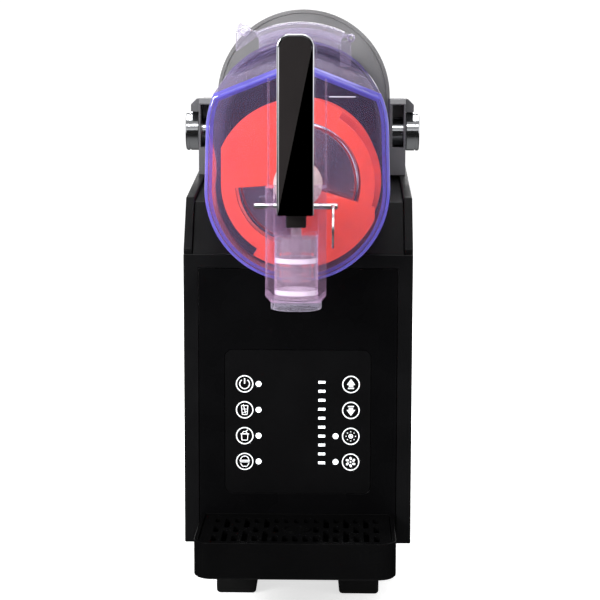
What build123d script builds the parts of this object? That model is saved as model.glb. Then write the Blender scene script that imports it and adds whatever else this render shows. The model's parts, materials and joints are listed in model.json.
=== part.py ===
from build123d import *
import os

# Single-bowl frozen drink machine.  +Z up, front towards -Y, origin at the bottom
# centre of the whole machine's box.  All sizes in millimetres.

# --- driving dimensions -------------------------------------------------------
BODY_W = 180  # case width
BODY_D = 327  # case depth, front panel to rear panel
TRAY_REACH = 95  # drip tray in front of the front panel
GLAND_REACH = 8  # cord gland behind the rear panel
FOOT_H = 43  # underside of the case above the table
LIP_Z = 274  # top edge of the front panel
KNEE_Z = 317  # top of the steep shoulder slope
LEDGE_Z = 335  # top of the case at the tower
SLOPE_D = 30  # depth of the steep slope
TOWER_D = 200  # front panel to the tower's front wall
TOWER_TOP_Z = 470  # top of the arched hood
HOOD_R = 76  # radius of the hood's arch
BOWL_R = 70.6  # outer radius of the bowl's trough
BOWL_AXIS_Z = 327  # height of the trough's axis
BOWL_TOP_R = 69.4  # outer radius of the bowl's arched top
BOWL_TOP_AXIS_Z = 371
BOWL_REACH = 35  # bowl in front of the front panel
BOWL_WALL = 3
AXIS_Z = 330  # drum, drive shaft and auger
DRUM_R = 47.5
PISTON_R = 16.2
SKIN = 3  # moulded case wall
EDGE = 7  # width of the side walls' raised edge
DECK_DROP = 4  # deck below the side walls' edge
RUN_GAP = 0.05  # radial gap of a running fit
PART_GAP = 0.3  # gap between parts on different bodies

# --- places worked out from them ----------------------------------------------
FRONT_Y = TRAY_REACH - (TRAY_REACH + BODY_D + GLAND_REACH) / 2
BACK_Y = FRONT_Y + BODY_D
TOWER_Y = FRONT_Y + TOWER_D
HOOD_AXIS_Z = TOWER_TOP_Z - HOOD_R
WALL_X = BODY_W / 2 - EDGE  # inner face of the side walls
TROUGH_R = BOWL_R + 3
BOWL_FRONT_Y = FRONT_Y - BOWL_REACH
BOWL_REAR_Y = TOWER_Y - 4.3
BOWL_STEP_Y = FRONT_Y - 8  # where the bowl's arched top begins
ROOF_SIDE_Z = 396  # roof edge of the bowl's front at its sides
ROOF_TOP_Z = 423
ROOF_RISE = 13  # rise of the sloping roof from front to step

# Spout, handle and their pivot
SPOUT_W = 45
SPOUT_Y = BOWL_FRONT_Y - 21  # axis of the piston
SPOUT_BORE_R = PISTON_R + PART_GAP
SPOUT_LOW_Z = 246
SPOUT_TOP_Z = 331
PIVOT_Y = FRONT_Y - 74
PIVOT_Z = 317.5
PIVOT_R = 2.2
HANDLE_W = 27.2
HANDLE_FRONT_Y = FRONT_Y - 94
HANDLE_T = 13
HANDLE_LOW_Z = 312
HANDLE_TOP_Z = 443

# Filler neck and lid on the bowl's arch
NECK_Y0 = FRONT_Y + 55
NECK_Y1 = FRONT_Y + 125
LID_R = 84.5  # outer radius of the lid about the arch's axis
LID_HINGE_X = 41
LID_HINGE_Z = 443

# Latches at the bowl's rear edge
LATCH_Y = FRONT_Y + 160
LATCH_Z = 365
KNOB_R = 16.5
KNOB_X0 = 88.3
KNOB_X1 = 100
BRACKET_X0 = 74.6
BRACKET_X1 = 88

# Control panel
PANEL_SIZE = 115
PANEL_Z = 141
BUTTON_X = 42
BUTTON_PITCH = 20.8
BUTTON_TOP_Z = 171.4

# Drip tray
TRAY_W = 152
TRAY_LOW_Z = 39.5
TRAY_TOP_Z = 67.5
TRAY_WALL = 3

os.makedirs("parts", exist_ok=True)


def behind(distance):
    """Y of a point that far behind the front panel's outer face."""
    return FRONT_Y + distance


def facing(y):
    """Plane at y whose sketch reads as the machine does from the front."""
    return Plane.XZ.offset(-y)


def block(x0, x1, y0, y1, z0, z1, mode=Mode.ADD):
    """Box between two corners, in the current part."""
    with Locations(((x0 + x1) / 2, (y0 + y1) / 2, (z0 + z1) / 2)):
        Box(abs(x1 - x0), abs(y1 - y0), abs(z1 - z0), mode=mode)


def rod(radius, start, end, mode=Mode.ADD):
    """Round bar between two points, in the current part."""
    a, b = Vector(*start), Vector(*end)
    with Locations(Plane(origin=a, z_dir=b - a)):
        base_end = (Align.CENTER, Align.CENTER, Align.MIN)
        Cylinder(radius, (b - a).length, align=base_end, mode=mode)


def finish(built, name):
    """Label the piece and write its file."""
    built.part.label = name
    export_step(built.part, f"parts/{name}.step")


# --- case -----------------------------------------------------------------------
def shoulder(drop, start, end):
    """Side outline of the case from y start to end, lowered by drop."""
    lip = LIP_Z + (KNEE_Z - LIP_Z) * (start - FRONT_Y) / SLOPE_D - drop
    return [
        (start, FOOT_H),
        (start, lip),
        (behind(SLOPE_D), KNEE_Z - drop),
        (behind(TOWER_D - 5), LEDGE_Z - drop),
        (end, LEDGE_Z - drop),
        (end, FOOT_H),
    ]


def make_side_wall(name, side):
    """Thick-edged side wall; its inner face is hollowed between the edges."""
    with BuildPart() as wall:
        with BuildSketch(Plane.YZ.offset(side * WALL_X)):
            with BuildLine():
                Polyline(*shoulder(0, behind(SKIN), BACK_Y), close=True)
            make_face()
        extrude(amount=side * EDGE)
        with BuildSketch(Plane.YZ.offset(side * WALL_X)):
            with BuildLine():
                Polyline(*shoulder(0, behind(SKIN), BACK_Y), close=True)
            make_face()
            offset(amount=-9, mode=Mode.REPLACE)
        extrude(amount=side * (EDGE - SKIN), mode=Mode.SUBTRACT)
    finish(wall, name)


make_side_wall("side_wall_left", -1)
make_side_wall("side_wall_right", 1)

FASCIA_W = 156
FASCIA_TOP_Z = 263
FASCIA_LOW_Z = FOOT_H + 6
SEAM = 0.35

with BuildPart() as front_frame:
    with BuildSketch(facing(FRONT_Y)):
        with Locations((0, (FOOT_H + LIP_Z) / 2)):
            Rectangle(BODY_W, LIP_Z - FOOT_H)
        with Locations((0, (FASCIA_LOW_Z + FASCIA_TOP_Z) / 2)):
            Rectangle(
                FASCIA_W + 2 * SEAM,
                FASCIA_TOP_Z - FASCIA_LOW_Z + 2 * SEAM,
                mode=Mode.SUBTRACT,
            )
        with Locations((0, BOWL_AXIS_Z)):
            Circle(TROUGH_R, mode=Mode.SUBTRACT)
    extrude(amount=-SKIN)
    chamfer(front_frame.edges().filter_by(Axis.Z).sort_by(Axis.X)[0], 1)
    chamfer(front_frame.edges().filter_by(Axis.Z).sort_by(Axis.X)[-1], 1)
finish(front_frame, "front_frame")

OVERLAY_T = 1.6
HOOK_X = 48
HOOK_Z = 61

with BuildPart() as front_fascia:
    with BuildSketch(facing(FRONT_Y)):
        with Locations((0, (FASCIA_LOW_Z + FASCIA_TOP_Z) / 2)):
            Rectangle(FASCIA_W, FASCIA_TOP_Z - FASCIA_LOW_Z)
        with Locations((0, BOWL_AXIS_Z)):
            Circle(TROUGH_R + 0.5, mode=Mode.SUBTRACT)
        with Locations((-HOOK_X, HOOK_Z), (HOOK_X, HOOK_Z)):
            Rectangle(15, 5, mode=Mode.SUBTRACT)
    extrude(amount=-SKIN)
    with BuildSketch(facing(FRONT_Y)):
        with Locations((0, PANEL_Z)):
            RectangleRounded(PANEL_SIZE + 0.4, PANEL_SIZE + 0.4, 6.2)
    extrude(amount=-OVERLAY_T, mode=Mode.SUBTRACT)
    with BuildSketch(facing(FRONT_Y)):
        with Locations((0, PANEL_Z)):
            RectangleRounded(PANEL_SIZE - 9, PANEL_SIZE - 9, 3)
    extrude(amount=-SKIN, mode=Mode.SUBTRACT)
finish(front_fascia, "front_fascia")

DECK_Y0 = behind(SKIN)
DECK_Y1 = TOWER_Y

with BuildPart() as deck:
    with BuildSketch(Plane.YZ):
        with BuildLine():
            Polyline(
                (DECK_Y0, FASCIA_TOP_Z),
                *shoulder(DECK_DROP, DECK_Y0, DECK_Y1)[1:5],
                (DECK_Y1, FASCIA_TOP_Z),
                close=True,
            )
        make_face()
    extrude(amount=WALL_X - 0.2, both=True)
    with BuildSketch(Plane.YZ):
        with BuildLine():
            Polyline(
                (DECK_Y0 + SKIN, FASCIA_TOP_Z),
                (DECK_Y0 + SKIN, LIP_Z - DECK_DROP - 1),
                (behind(SLOPE_D) + 1, KNEE_Z - DECK_DROP - SKIN - 1),
                (behind(TOWER_D - 5), LEDGE_Z - DECK_DROP - SKIN),
                (DECK_Y1, LEDGE_Z - DECK_DROP - SKIN),
                (DECK_Y1, FASCIA_TOP_Z),
                close=True,
            )
        make_face()
    extrude(amount=WALL_X - SKIN, both=True, mode=Mode.SUBTRACT)
    with BuildSketch(facing(DECK_Y0)):
        with Locations((0, BOWL_AXIS_Z)):
            Circle(TROUGH_R + SKIN)
    extrude(amount=-(DECK_Y1 - DECK_Y0))
    with BuildSketch(Plane.YZ):
        with BuildLine():
            Polyline(
                *shoulder(DECK_DROP, DECK_Y0, DECK_Y1)[1:5],
                (DECK_Y1, BOWL_AXIS_Z + 2 * TROUGH_R),
                (DECK_Y0, BOWL_AXIS_Z + 2 * TROUGH_R),
                close=True,
            )
        make_face()
    extrude(amount=WALL_X, both=True, mode=Mode.SUBTRACT)
    with BuildSketch(facing(DECK_Y0)):
        with Locations((0, BOWL_AXIS_Z)):
            Circle(TROUGH_R)
    extrude(amount=-(DECK_Y1 - DECK_Y0), mode=Mode.SUBTRACT)
finish(deck, "deck")

BASE_RIM = 12

with BuildPart() as base_plate:
    block(-WALL_X, WALL_X, behind(SKIN), BACK_Y, FOOT_H, FOOT_H + BASE_RIM)
    block(
        -WALL_X + SKIN,
        WALL_X - SKIN,
        behind(2 * SKIN),
        BACK_Y - SKIN,
        FOOT_H + SKIN,
        FOOT_H + BASE_RIM,
        mode=Mode.SUBTRACT,
    )
    with BuildSketch(Plane.XY.offset(FOOT_H)):
        with Locations((0, behind(110))):
            with GridLocations(24, 9, 4, 7):
                SlotOverall(18, 4)
    extrude(amount=SKIN, mode=Mode.SUBTRACT)
finish(base_plate, "base_plate")

REAR_T = 3
GLAND_X = 55
GLAND_Z = 80
GLAND_R = 8
CORD_R = 3.6

with BuildPart() as rear_panel:
    rear_z0 = FOOT_H + BASE_RIM
    rear_z1 = LEDGE_Z - 4
    with BuildSketch(facing(BACK_Y)):
        with Locations((0, (rear_z0 + rear_z1) / 2)):
            Rectangle(2 * WALL_X, rear_z1 - rear_z0)
        with Locations((0, 195)):
            with GridLocations(62, 9, 2, 19):
                SlotOverall(54, 4.5, mode=Mode.SUBTRACT)
        with Locations((GLAND_X, GLAND_Z)):
            Circle(GLAND_R + RUN_GAP, mode=Mode.SUBTRACT)
        with Locations((0, (rear_z0 + rear_z1) / 2)):
            with GridLocations(148, 250, 2, 2):
                Circle(1.7, mode=Mode.SUBTRACT)
    extrude(amount=REAR_T)
finish(rear_panel, "rear_panel")

with BuildPart() as cord_gland:
    with BuildSketch(facing(BACK_Y)):
        with Locations((GLAND_X, GLAND_Z)):
            Circle(GLAND_R + 4)
    extrude(amount=-GLAND_REACH)
    chamfer(cord_gland.faces().sort_by(Axis.Y)[-1].edges(), 3)
    rod(GLAND_R, (GLAND_X, BACK_Y, GLAND_Z), (GLAND_X, BACK_Y - 12, GLAND_Z))
    rod(
        CORD_R,
        (GLAND_X, BACK_Y + GLAND_REACH, GLAND_Z),
        (GLAND_X, BACK_Y - 12, GLAND_Z),
        mode=Mode.SUBTRACT,
    )
finish(cord_gland, "cord_gland")


def arch(radius, low_z):
    """Arched doorway shape, in the current sketch."""
    with BuildLine() as outline:
        top = CenterArc((0, HOOD_AXIS_Z), radius, 0, 180)
        Polyline(top @ 1, (-radius, low_z), (radius, low_z), top @ 0)
    make_face(outline.edges())


BULKHEAD_T = 4
SPIGOT_R = 14

with BuildPart() as bulkhead:
    with BuildSketch(facing(TOWER_Y)):
        arch(HOOD_R - SKIN - 0.1, LEDGE_Z)
        with Locations((0, (LEDGE_Z - 90 + LEDGE_Z) / 2)):
            Rectangle(2 * WALL_X - 0.4, 90)
        with Locations((0, AXIS_Z)):
            Circle(SPIGOT_R, mode=Mode.SUBTRACT)
    extrude(amount=-BULKHEAD_T)
finish(bulkhead, "bulkhead")

HOOD_FOOT_Z = LEDGE_Z - 4

with BuildPart() as rear_hood:
    with BuildSketch(facing(TOWER_Y - 1)):
        arch(HOOD_R, LEDGE_Z)
    extrude(amount=-(BACK_Y - TOWER_Y + 1))
    rear_outline = rear_hood.faces().sort_by(Axis.Y)[-1].edges()
    fillet(rear_outline.sort_by(Axis.Z)[1:], 16)
    with BuildSketch(facing(TOWER_Y - 1)):
        arch(HOOD_R - SKIN, LEDGE_Z)
    extrude(amount=-(BACK_Y - TOWER_Y + 1 - 20), mode=Mode.SUBTRACT)
    with BuildSketch(facing(TOWER_Y - 1)):
        arch(HOOD_R - 16, LEDGE_Z)
    extrude(amount=-(BACK_Y - TOWER_Y + 1 - SKIN), mode=Mode.SUBTRACT)
    for side in (-1, 1):
        block(
            side * (HOOD_R - SKIN),
            side * WALL_X,
            TOWER_Y + BULKHEAD_T,
            BACK_Y,
            HOOD_FOOT_Z,
            LEDGE_Z,
        )
    block(-HOOD_R, HOOD_R, BACK_Y - SKIN, BACK_Y, HOOD_FOOT_Z, LEDGE_Z)
    with BuildSketch(facing(BACK_Y)):
        with Locations((0, 385)):
            with GridLocations(0, 9, 1, 6):
                SlotOverall(64, 4.5)
    extrude(amount=SKIN + 1, mode=Mode.SUBTRACT)
finish(rear_hood, "rear_hood")


# --- feet -------------------------------------------------------------------------
FOOT_X0 = 29.5
FOOT_X1 = 65
FOOT_LEN = 42
FOOT_SLANT = 4


def make_foot(name, side, y0):
    """Hollow-looking block foot with a slanted inner side and rounded toe."""
    with BuildPart() as foot:
        with BuildSketch(facing(y0)):
            with BuildLine():
                Polyline(
                    (side * (FOOT_X0 + FOOT_SLANT), 0),
                    (side * FOOT_X1, 0),
                    (side * FOOT_X1, FOOT_H),
                    (side * FOOT_X0, FOOT_H),
                    close=True,
                )
            make_face()
        extrude(amount=-FOOT_LEN)
        fillet(foot.faces().sort_by(Axis.Z)[0].edges().filter_by(Axis.Y), 3)
        chamfer(foot.faces().sort_by(Axis.Z)[0].edges().filter_by(Axis.X), 1.5)
    finish(foot, name)


for side_name, side in (("left", -1), ("right", 1)):
    make_foot(f"foot_front_{side_name}", side, behind(4))
    make_foot(f"foot_rear_{side_name}", side, BACK_Y - FOOT_LEN - 6)

# --- control panel -----------------------------------------------------------------
BAR_X = 19
BAR_PITCH = 7.2
BAR_TOP_Z = 173
BAR_COUNT = 10
DOT_LEFT_X = -31
DOT_RIGHT_X = 30
DOT_R = 2.3
BAR_SIZE = (5.5, 2.1)
BUTTON_ROWS = [BUTTON_TOP_Z - BUTTON_PITCH * row for row in range(4)]
BAR_PLACES = [(BAR_X, BAR_TOP_Z - BAR_PITCH * row) for row in range(BAR_COUNT)]
DOTS_LEFT = [(DOT_LEFT_X, z) for z in BUTTON_ROWS]
DOTS_RIGHT = [(DOT_RIGHT_X, z) for z in BUTTON_ROWS[2:]]

with BuildPart() as control_overlay:
    with BuildSketch(facing(FRONT_Y)):
        with Locations((0, PANEL_Z)):
            RectangleRounded(PANEL_SIZE, PANEL_SIZE, 6)
        with Locations(*BAR_PLACES):
            Rectangle(*BAR_SIZE, mode=Mode.SUBTRACT)
        with Locations(*DOTS_LEFT, *DOTS_RIGHT):
            Circle(DOT_R, mode=Mode.SUBTRACT)
    extrude(amount=-OVERLAY_T)
finish(control_overlay, "control_overlay")

SPINE_Y0 = FRONT_Y + OVERLAY_T + 0.1
SPINE_T = 1.2
SHINE_GAP = 0.05


def make_light_pipe(name, places, shape, spine_w):
    """Clear moulding: one window per place, joined by a spine behind the overlay."""
    with BuildPart() as pipe:
        with BuildSketch(facing(FRONT_Y)):
            with Locations(*places):
                shape()
        extrude(amount=-(OVERLAY_T + 0.1 + SPINE_T))
        zs = [z for _, z in places]
        block(
            places[0][0] - spine_w / 2,
            places[0][0] + spine_w / 2,
            SPINE_Y0,
            SPINE_Y0 + SPINE_T,
            min(zs) - 4,
            max(zs) + 4,
        )
    finish(pipe, name)


def bar_window():
    Rectangle(BAR_SIZE[0] - 2 * SHINE_GAP, BAR_SIZE[1] - 2 * SHINE_GAP)


def dot_window():
    Circle(DOT_R - SHINE_GAP)


make_light_pipe("level_light_pipe", BAR_PLACES, bar_window, 7)
make_light_pipe("status_light_pipe_left", DOTS_LEFT, dot_window, 6)
make_light_pipe("status_light_pipe_right", DOTS_RIGHT, dot_window, 6)

with BuildPart() as control_board:
    board_y = behind(6)
    block(-54, 54, board_y, board_y + 1.6, PANEL_Z - 54, PANEL_Z + 54)
    for z in BUTTON_ROWS:
        for x in (-BUTTON_X, BUTTON_X):
            rod(5, (x, board_y, z), (x, board_y - 2, z))
    block(-20, 10, board_y + 1.6, board_y + 9, PANEL_Z - 10, PANEL_Z + 6)
    block(20, 44, board_y + 1.6, board_y + 7, PANEL_Z - 40, PANEL_Z - 28)
finish(control_board, "control_board")

# --- cold and drive system ------------------------------------------------------------
FLOOR_Z = FOOT_H + SKIN
COMP_Y = behind(192)
COMP_R = 50
COMP_H = 118
COMP_TOP_Z = FLOOR_Z + 8 + COMP_H

with BuildPart() as compressor:
    with BuildSketch(Plane.XY.offset(FLOOR_Z + 8)):
        with Locations((0, COMP_Y)):
            Circle(COMP_R)
    extrude(amount=COMP_H)
    fillet(compressor.edges().sort_by(Axis.Z)[-1], 30)
    fillet(compressor.edges().sort_by(Axis.Z)[0], 10)
    block(-60, 60, COMP_Y - 38, COMP_Y + 38, FLOOR_Z + 4, FLOOR_Z + 10)
    with Locations((0, COMP_Y, FLOOR_Z + 2)):
        with GridLocations(100, 60, 2, 2):
            Cylinder(6, 4)
    block(COMP_R - 6, COMP_R + 12, COMP_Y - 16, COMP_Y + 16, 90, 124)
finish(compressor, "compressor")

COND_Y0 = behind(292)
COND_D = 22
COND_W = 128
COND_Z0 = FLOOR_Z + 2
COND_Z1 = 190
FIN_COUNT = 26

with BuildPart() as condenser:
    for x in (-COND_W / 2, COND_W / 2 - 1.5):
        block(x, x + 1.5, COND_Y0, COND_Y0 + COND_D, COND_Z0, COND_Z1)
    fin_step = (COND_W - 8) / (FIN_COUNT - 1)
    for index in range(FIN_COUNT):
        x = -COND_W / 2 + 4 + index * fin_step
        block(x - 0.4, x + 0.4, COND_Y0 + 1, COND_Y0 + COND_D - 1, COND_Z0 + 4, COND_Z1)
    for row in range(5):
        z = COND_Z0 + 18 + row * 26
        rod(
            3.5,
            (-COND_W / 2 - 5, COND_Y0 + COND_D / 2, z),
            (COND_W / 2 + 5, COND_Y0 + COND_D / 2, z),
        )
finish(condenser, "condenser")

FAN_Z = 120
FAN_R = 54
SHROUD_Y0 = behind(271)
SHROUD_D = 18

with BuildPart() as fan_shroud:
    block(-64, 64, SHROUD_Y0, SHROUD_Y0 + SHROUD_D, FLOOR_Z + 2, FAN_Z + 66)
    rod(
        FAN_R + 3,
        (0, SHROUD_Y0, FAN_Z),
        (0, SHROUD_Y0 + SHROUD_D, FAN_Z),
        mode=Mode.SUBTRACT,
    )
    for side in (-1, 1):
        block(side * 12, side * 60, SHROUD_Y0, SHROUD_Y0 + 3, FAN_Z - 4, FAN_Z + 4)
    rod(17, (0, SHROUD_Y0, FAN_Z), (0, SHROUD_Y0 + 3, FAN_Z))
    rod(2.6, (0, SHROUD_Y0, FAN_Z), (0, SHROUD_Y0 + 3, FAN_Z), mode=Mode.SUBTRACT)
finish(fan_shroud, "fan_shroud")

with BuildPart() as fan_motor:
    rod(16, (0, SHROUD_Y0 - 20, FAN_Z), (0, SHROUD_Y0, FAN_Z))
    fillet(fan_motor.edges().sort_by(Axis.Y)[0], 3)
finish(fan_motor, "fan_motor")

FAN_Y0 = SHROUD_Y0 + 4

with BuildPart() as fan_blades:
    rod(14, (0, FAN_Y0, FAN_Z), (0, FAN_Y0 + 11, FAN_Z))
    blade_plane = Plane(
        origin=(12, FAN_Y0 + 5.5, FAN_Z), x_dir=(0, 0.5, 0.866), z_dir=(1, 0, 0)
    )
    with BuildSketch(blade_plane):
        Rectangle(20, 1.6)
    extrude(amount=FAN_R - 13)
    blade = fan_blades.part
    for turn in range(1, 5):
        add(blade.rotate(Axis((0, 0, FAN_Z), (0, 1, 0)), 72 * turn))
finish(fan_blades, "fan_blades")

GEARBOX_Y0 = TOWER_Y + BULKHEAD_T + 2
GEARBOX_D = 32
SHAFT_R = 5

with BuildPart() as gearbox:
    block(-35, 35, GEARBOX_Y0, GEARBOX_Y0 + GEARBOX_D, AXIS_Z - 35, AXIS_Z + 35)
    fillet(gearbox.edges().filter_by(Axis.Y), 8)
    rod(
        SHAFT_R + RUN_GAP,
        (0, GEARBOX_Y0, AXIS_Z),
        (0, GEARBOX_Y0 + 22, AXIS_Z),
        mode=Mode.SUBTRACT,
    )
finish(gearbox, "gearbox")

with BuildPart() as gear_motor:
    motor_y = GEARBOX_Y0 + GEARBOX_D
    rod(24, (0, motor_y, AXIS_Z + 4), (0, motor_y + 62, AXIS_Z + 4))
    fillet(gear_motor.edges().sort_by(Axis.Y)[-1], 4)
    rod(8, (0, motor_y + 62, AXIS_Z + 4), (0, motor_y + 68, AXIS_Z + 4))
finish(gear_motor, "gear_motor")

DRUM_Y0 = behind(6)
TUBE_R = 10
BUSH_R = 8
BUSH_LEN = 14

with BuildPart() as evaporator_drum:
    rod(DRUM_R, (0, DRUM_Y0, AXIS_Z), (0, TOWER_Y, AXIS_Z))
    fillet(evaporator_drum.edges().sort_by(Axis.Y)[0], 4)
    rod(
        DRUM_R - 1.5,
        (0, DRUM_Y0 + 5, AXIS_Z),
        (0, TOWER_Y, AXIS_Z),
        mode=Mode.SUBTRACT,
    )
    rod(TUBE_R, (0, DRUM_Y0, AXIS_Z), (0, TOWER_Y, AXIS_Z))
    with BuildSketch(facing(TOWER_Y)):
        with Locations((0, AXIS_Z)):
            Circle(DRUM_R + 8)
            Circle(DRUM_R - 1.5, mode=Mode.SUBTRACT)
    extrude(amount=2)
    rod(
        BUSH_R,
        (0, DRUM_Y0, AXIS_Z),
        (0, TOWER_Y, AXIS_Z),
        mode=Mode.SUBTRACT,
    )
finish(evaporator_drum, "evaporator_drum")

with BuildPart() as evaporator_coil:
    coil_y0 = DRUM_Y0 + 14
    coil_pitch = 17
    for index in range(10):
        with BuildSketch(Plane.YZ):
            with Locations((coil_y0 + index * coil_pitch, AXIS_Z + DRUM_R - 6)):
                Circle(3)
        revolve(axis=Axis((0, 0, AXIS_Z), (0, 1, 0)), revolution_arc=360)
    rod(
        3,
        (0, coil_y0, AXIS_Z - DRUM_R + 7),
        (0, coil_y0 + 9 * coil_pitch, AXIS_Z - DRUM_R + 7),
    )
finish(evaporator_coil, "evaporator_coil")


def make_ring(name, y0, length, outer_r, inner_r):
    """Plain round sleeve about the drive axis."""
    with BuildPart() as ring:
        with BuildSketch(facing(y0)):
            with Locations((0, AXIS_Z)):
                Circle(outer_r)
                Circle(inner_r, mode=Mode.SUBTRACT)
        extrude(amount=-length)
    finish(ring, name)


make_ring("front_bushing", DRUM_Y0 + 8, BUSH_LEN, BUSH_R, SHAFT_R + RUN_GAP)
make_ring("rear_bushing", TOWER_Y - BUSH_LEN, BUSH_LEN, BUSH_R, SHAFT_R + RUN_GAP)
make_ring("shaft_seal", DRUM_Y0, 7, BUSH_R, SHAFT_R + RUN_GAP)

SHAFT_Y0 = behind(-4)

with BuildPart() as drive_shaft:
    rod(SHAFT_R, (0, SHAFT_Y0, AXIS_Z), (0, GEARBOX_Y0 + 20, AXIS_Z))
    chamfer(drive_shaft.edges().sort_by(Axis.Y)[-1], 0.8)
finish(drive_shaft, "drive_shaft")

# --- auger -----------------------------------------------------------------------------
AUGER_IN_R = DRUM_R + 1
AUGER_RING_R = 59.5
AUGER_R = 65.5
AUGER_FRONT_Y = behind(-9)
AUGER_PLATE = 8
AUGER_REAR_Y = TOWER_Y - 16
BLADE_T = 5
BLADE_TURNS = 1.5
NOSE_R = 19
HUB_R = 12
PADDLES = ((58, 122), (238, 105))  # start and sweep in degrees
OPENINGS = ((-17, 111), (184, 90))


def sector(start, sweep_angle, outer_r, mode=Mode.ADD):
    """Pie slice about the drive axis, in the current sketch."""
    with BuildLine() as outline:
        arc = CenterArc((0, AXIS_Z), outer_r, start, sweep_angle)
        Line((0, AXIS_Z), arc @ 0)
        Line(arc @ 1, (0, AXIS_Z))
    make_face(outline.edges(), mode=mode)


BLADE_R = (AUGER_IN_R + AUGER_R) / 2
BLADE_Y0 = AUGER_FRONT_Y + AUGER_PLATE / 2
BLADE_TRAVEL = AUGER_REAR_Y - BLADE_Y0

with BuildPart() as auger:
    with BuildSketch(facing(AUGER_FRONT_Y)):
        with Locations((0, AXIS_Z)):
            Circle(AUGER_RING_R)
        for start, sweep_angle in PADDLES:
            sector(start, sweep_angle, AUGER_R)
        with Locations((0, AXIS_Z)):
            Rectangle(2 * AUGER_RING_R, 2 * AUGER_R, mode=Mode.INTERSECT)
        for start, sweep_angle in OPENINGS:
            sector(start, sweep_angle, AUGER_IN_R, mode=Mode.SUBTRACT)
        with Locations((0, AXIS_Z)):
            Circle(HUB_R)
            Circle(SHAFT_R, mode=Mode.SUBTRACT)
    extrude(amount=-AUGER_PLATE)
    with BuildLine() as blade_path:
        Helix(
            pitch=BLADE_TRAVEL / BLADE_TURNS,
            height=BLADE_TRAVEL,
            radius=BLADE_R,
            center=(0, BLADE_Y0, AXIS_Z),
            direction=(0, 1, 0),
        )
    path = blade_path.line
    with BuildSketch(Plane(origin=path @ 0, z_dir=path % 0, x_dir=(0, 0, 1))):
        Rectangle(AUGER_R - AUGER_IN_R - 1, BLADE_T)
    sweep(path=path, is_frenet=True)
finish(auger, "auger")

with BuildPart() as auger_nose:
    with BuildSketch(Plane.YZ):
        nose_y = AUGER_FRONT_Y
        with BuildLine():
            tip = (nose_y - 9, AXIS_Z)
            rim = (nose_y - 1.5, AXIS_Z + NOSE_R)
            ThreePointArc(tip, (nose_y - 6.8, AXIS_Z + NOSE_R * 0.6), rim)
            Polyline(rim, (nose_y, AXIS_Z + NOSE_R), (nose_y, AXIS_Z), tip)
        make_face()
    revolve(axis=Axis((0, 0, AXIS_Z), (0, 1, 0)))
finish(auger_nose, "auger_nose")

# --- bowl --------------------------------------------------------------------------------
NECK_R = 79
NECK_HALF = 33
NECK_WALL = 2.5
RIB_X = 22.5
PASSAGE_W = 26
PASSAGE_Z0 = 261
PASSAGE_Z1 = 280


def bowl_form(inset):
    """Closed shape of the bowl, shrunk by inset on every side but the rear."""
    trough_r = BOWL_R - inset
    top_r = BOWL_TOP_R - inset
    with BuildPart() as form:
        with BuildSketch(facing(BOWL_FRONT_Y + inset)):
            with BuildLine():
                low = CenterArc((0, BOWL_AXIS_Z), trough_r, 180, 180)
                high = CenterArc((0, BOWL_TOP_AXIS_Z), top_r, 0, 180)
                Line(low @ 1, high @ 0)
                Line(high @ 1, low @ 0)
            make_face()
        extrude(amount=-(BOWL_REAR_Y - BOWL_FRONT_Y - inset))
        slope = (ROOF_TOP_Z - ROOF_SIDE_Z) / 68.5
        roof_z = ROOF_TOP_Z - 1.25 * inset
        far = 90
        with BuildSketch(facing(BOWL_FRONT_Y)):
            with BuildLine():
                Polyline(
                    (0, roof_z),
                    (far, roof_z - slope * far),
                    (far, TOWER_TOP_Z + 30),
                    (-far, TOWER_TOP_Z + 30),
                    (-far, roof_z - slope * far),
                    close=True,
                )
            make_face()
        step = Vector(0, BOWL_STEP_Y - BOWL_FRONT_Y + inset, ROOF_RISE)
        extrude(amount=step.length, dir=step, mode=Mode.SUBTRACT)
    return form.part


def arch_band(inner_r, outer_r, half_w, mode=Mode.ADD):
    """Strip of a ring over the bowl's arch, half_w wide each side, in the sketch."""
    with BuildLine() as outline:
        outer = CenterArc((0, BOWL_TOP_AXIS_Z), outer_r, 0, 180)
        inner = CenterArc((0, BOWL_TOP_AXIS_Z), inner_r, 180, -180)
        Line(outer @ 1, inner @ 0)
        Line(inner @ 1, outer @ 0)
    band = make_face(outline.edges(), mode=Mode.PRIVATE)
    strip = Rectangle(2 * half_w, 400, mode=Mode.PRIVATE)
    strip = strip.moved(Location((0, BOWL_TOP_AXIS_Z + 200)))
    add(band & strip, mode=mode)


outer_form = bowl_form(0)
inner_form = bowl_form(BOWL_WALL)
FLANGE_T = 4

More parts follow.
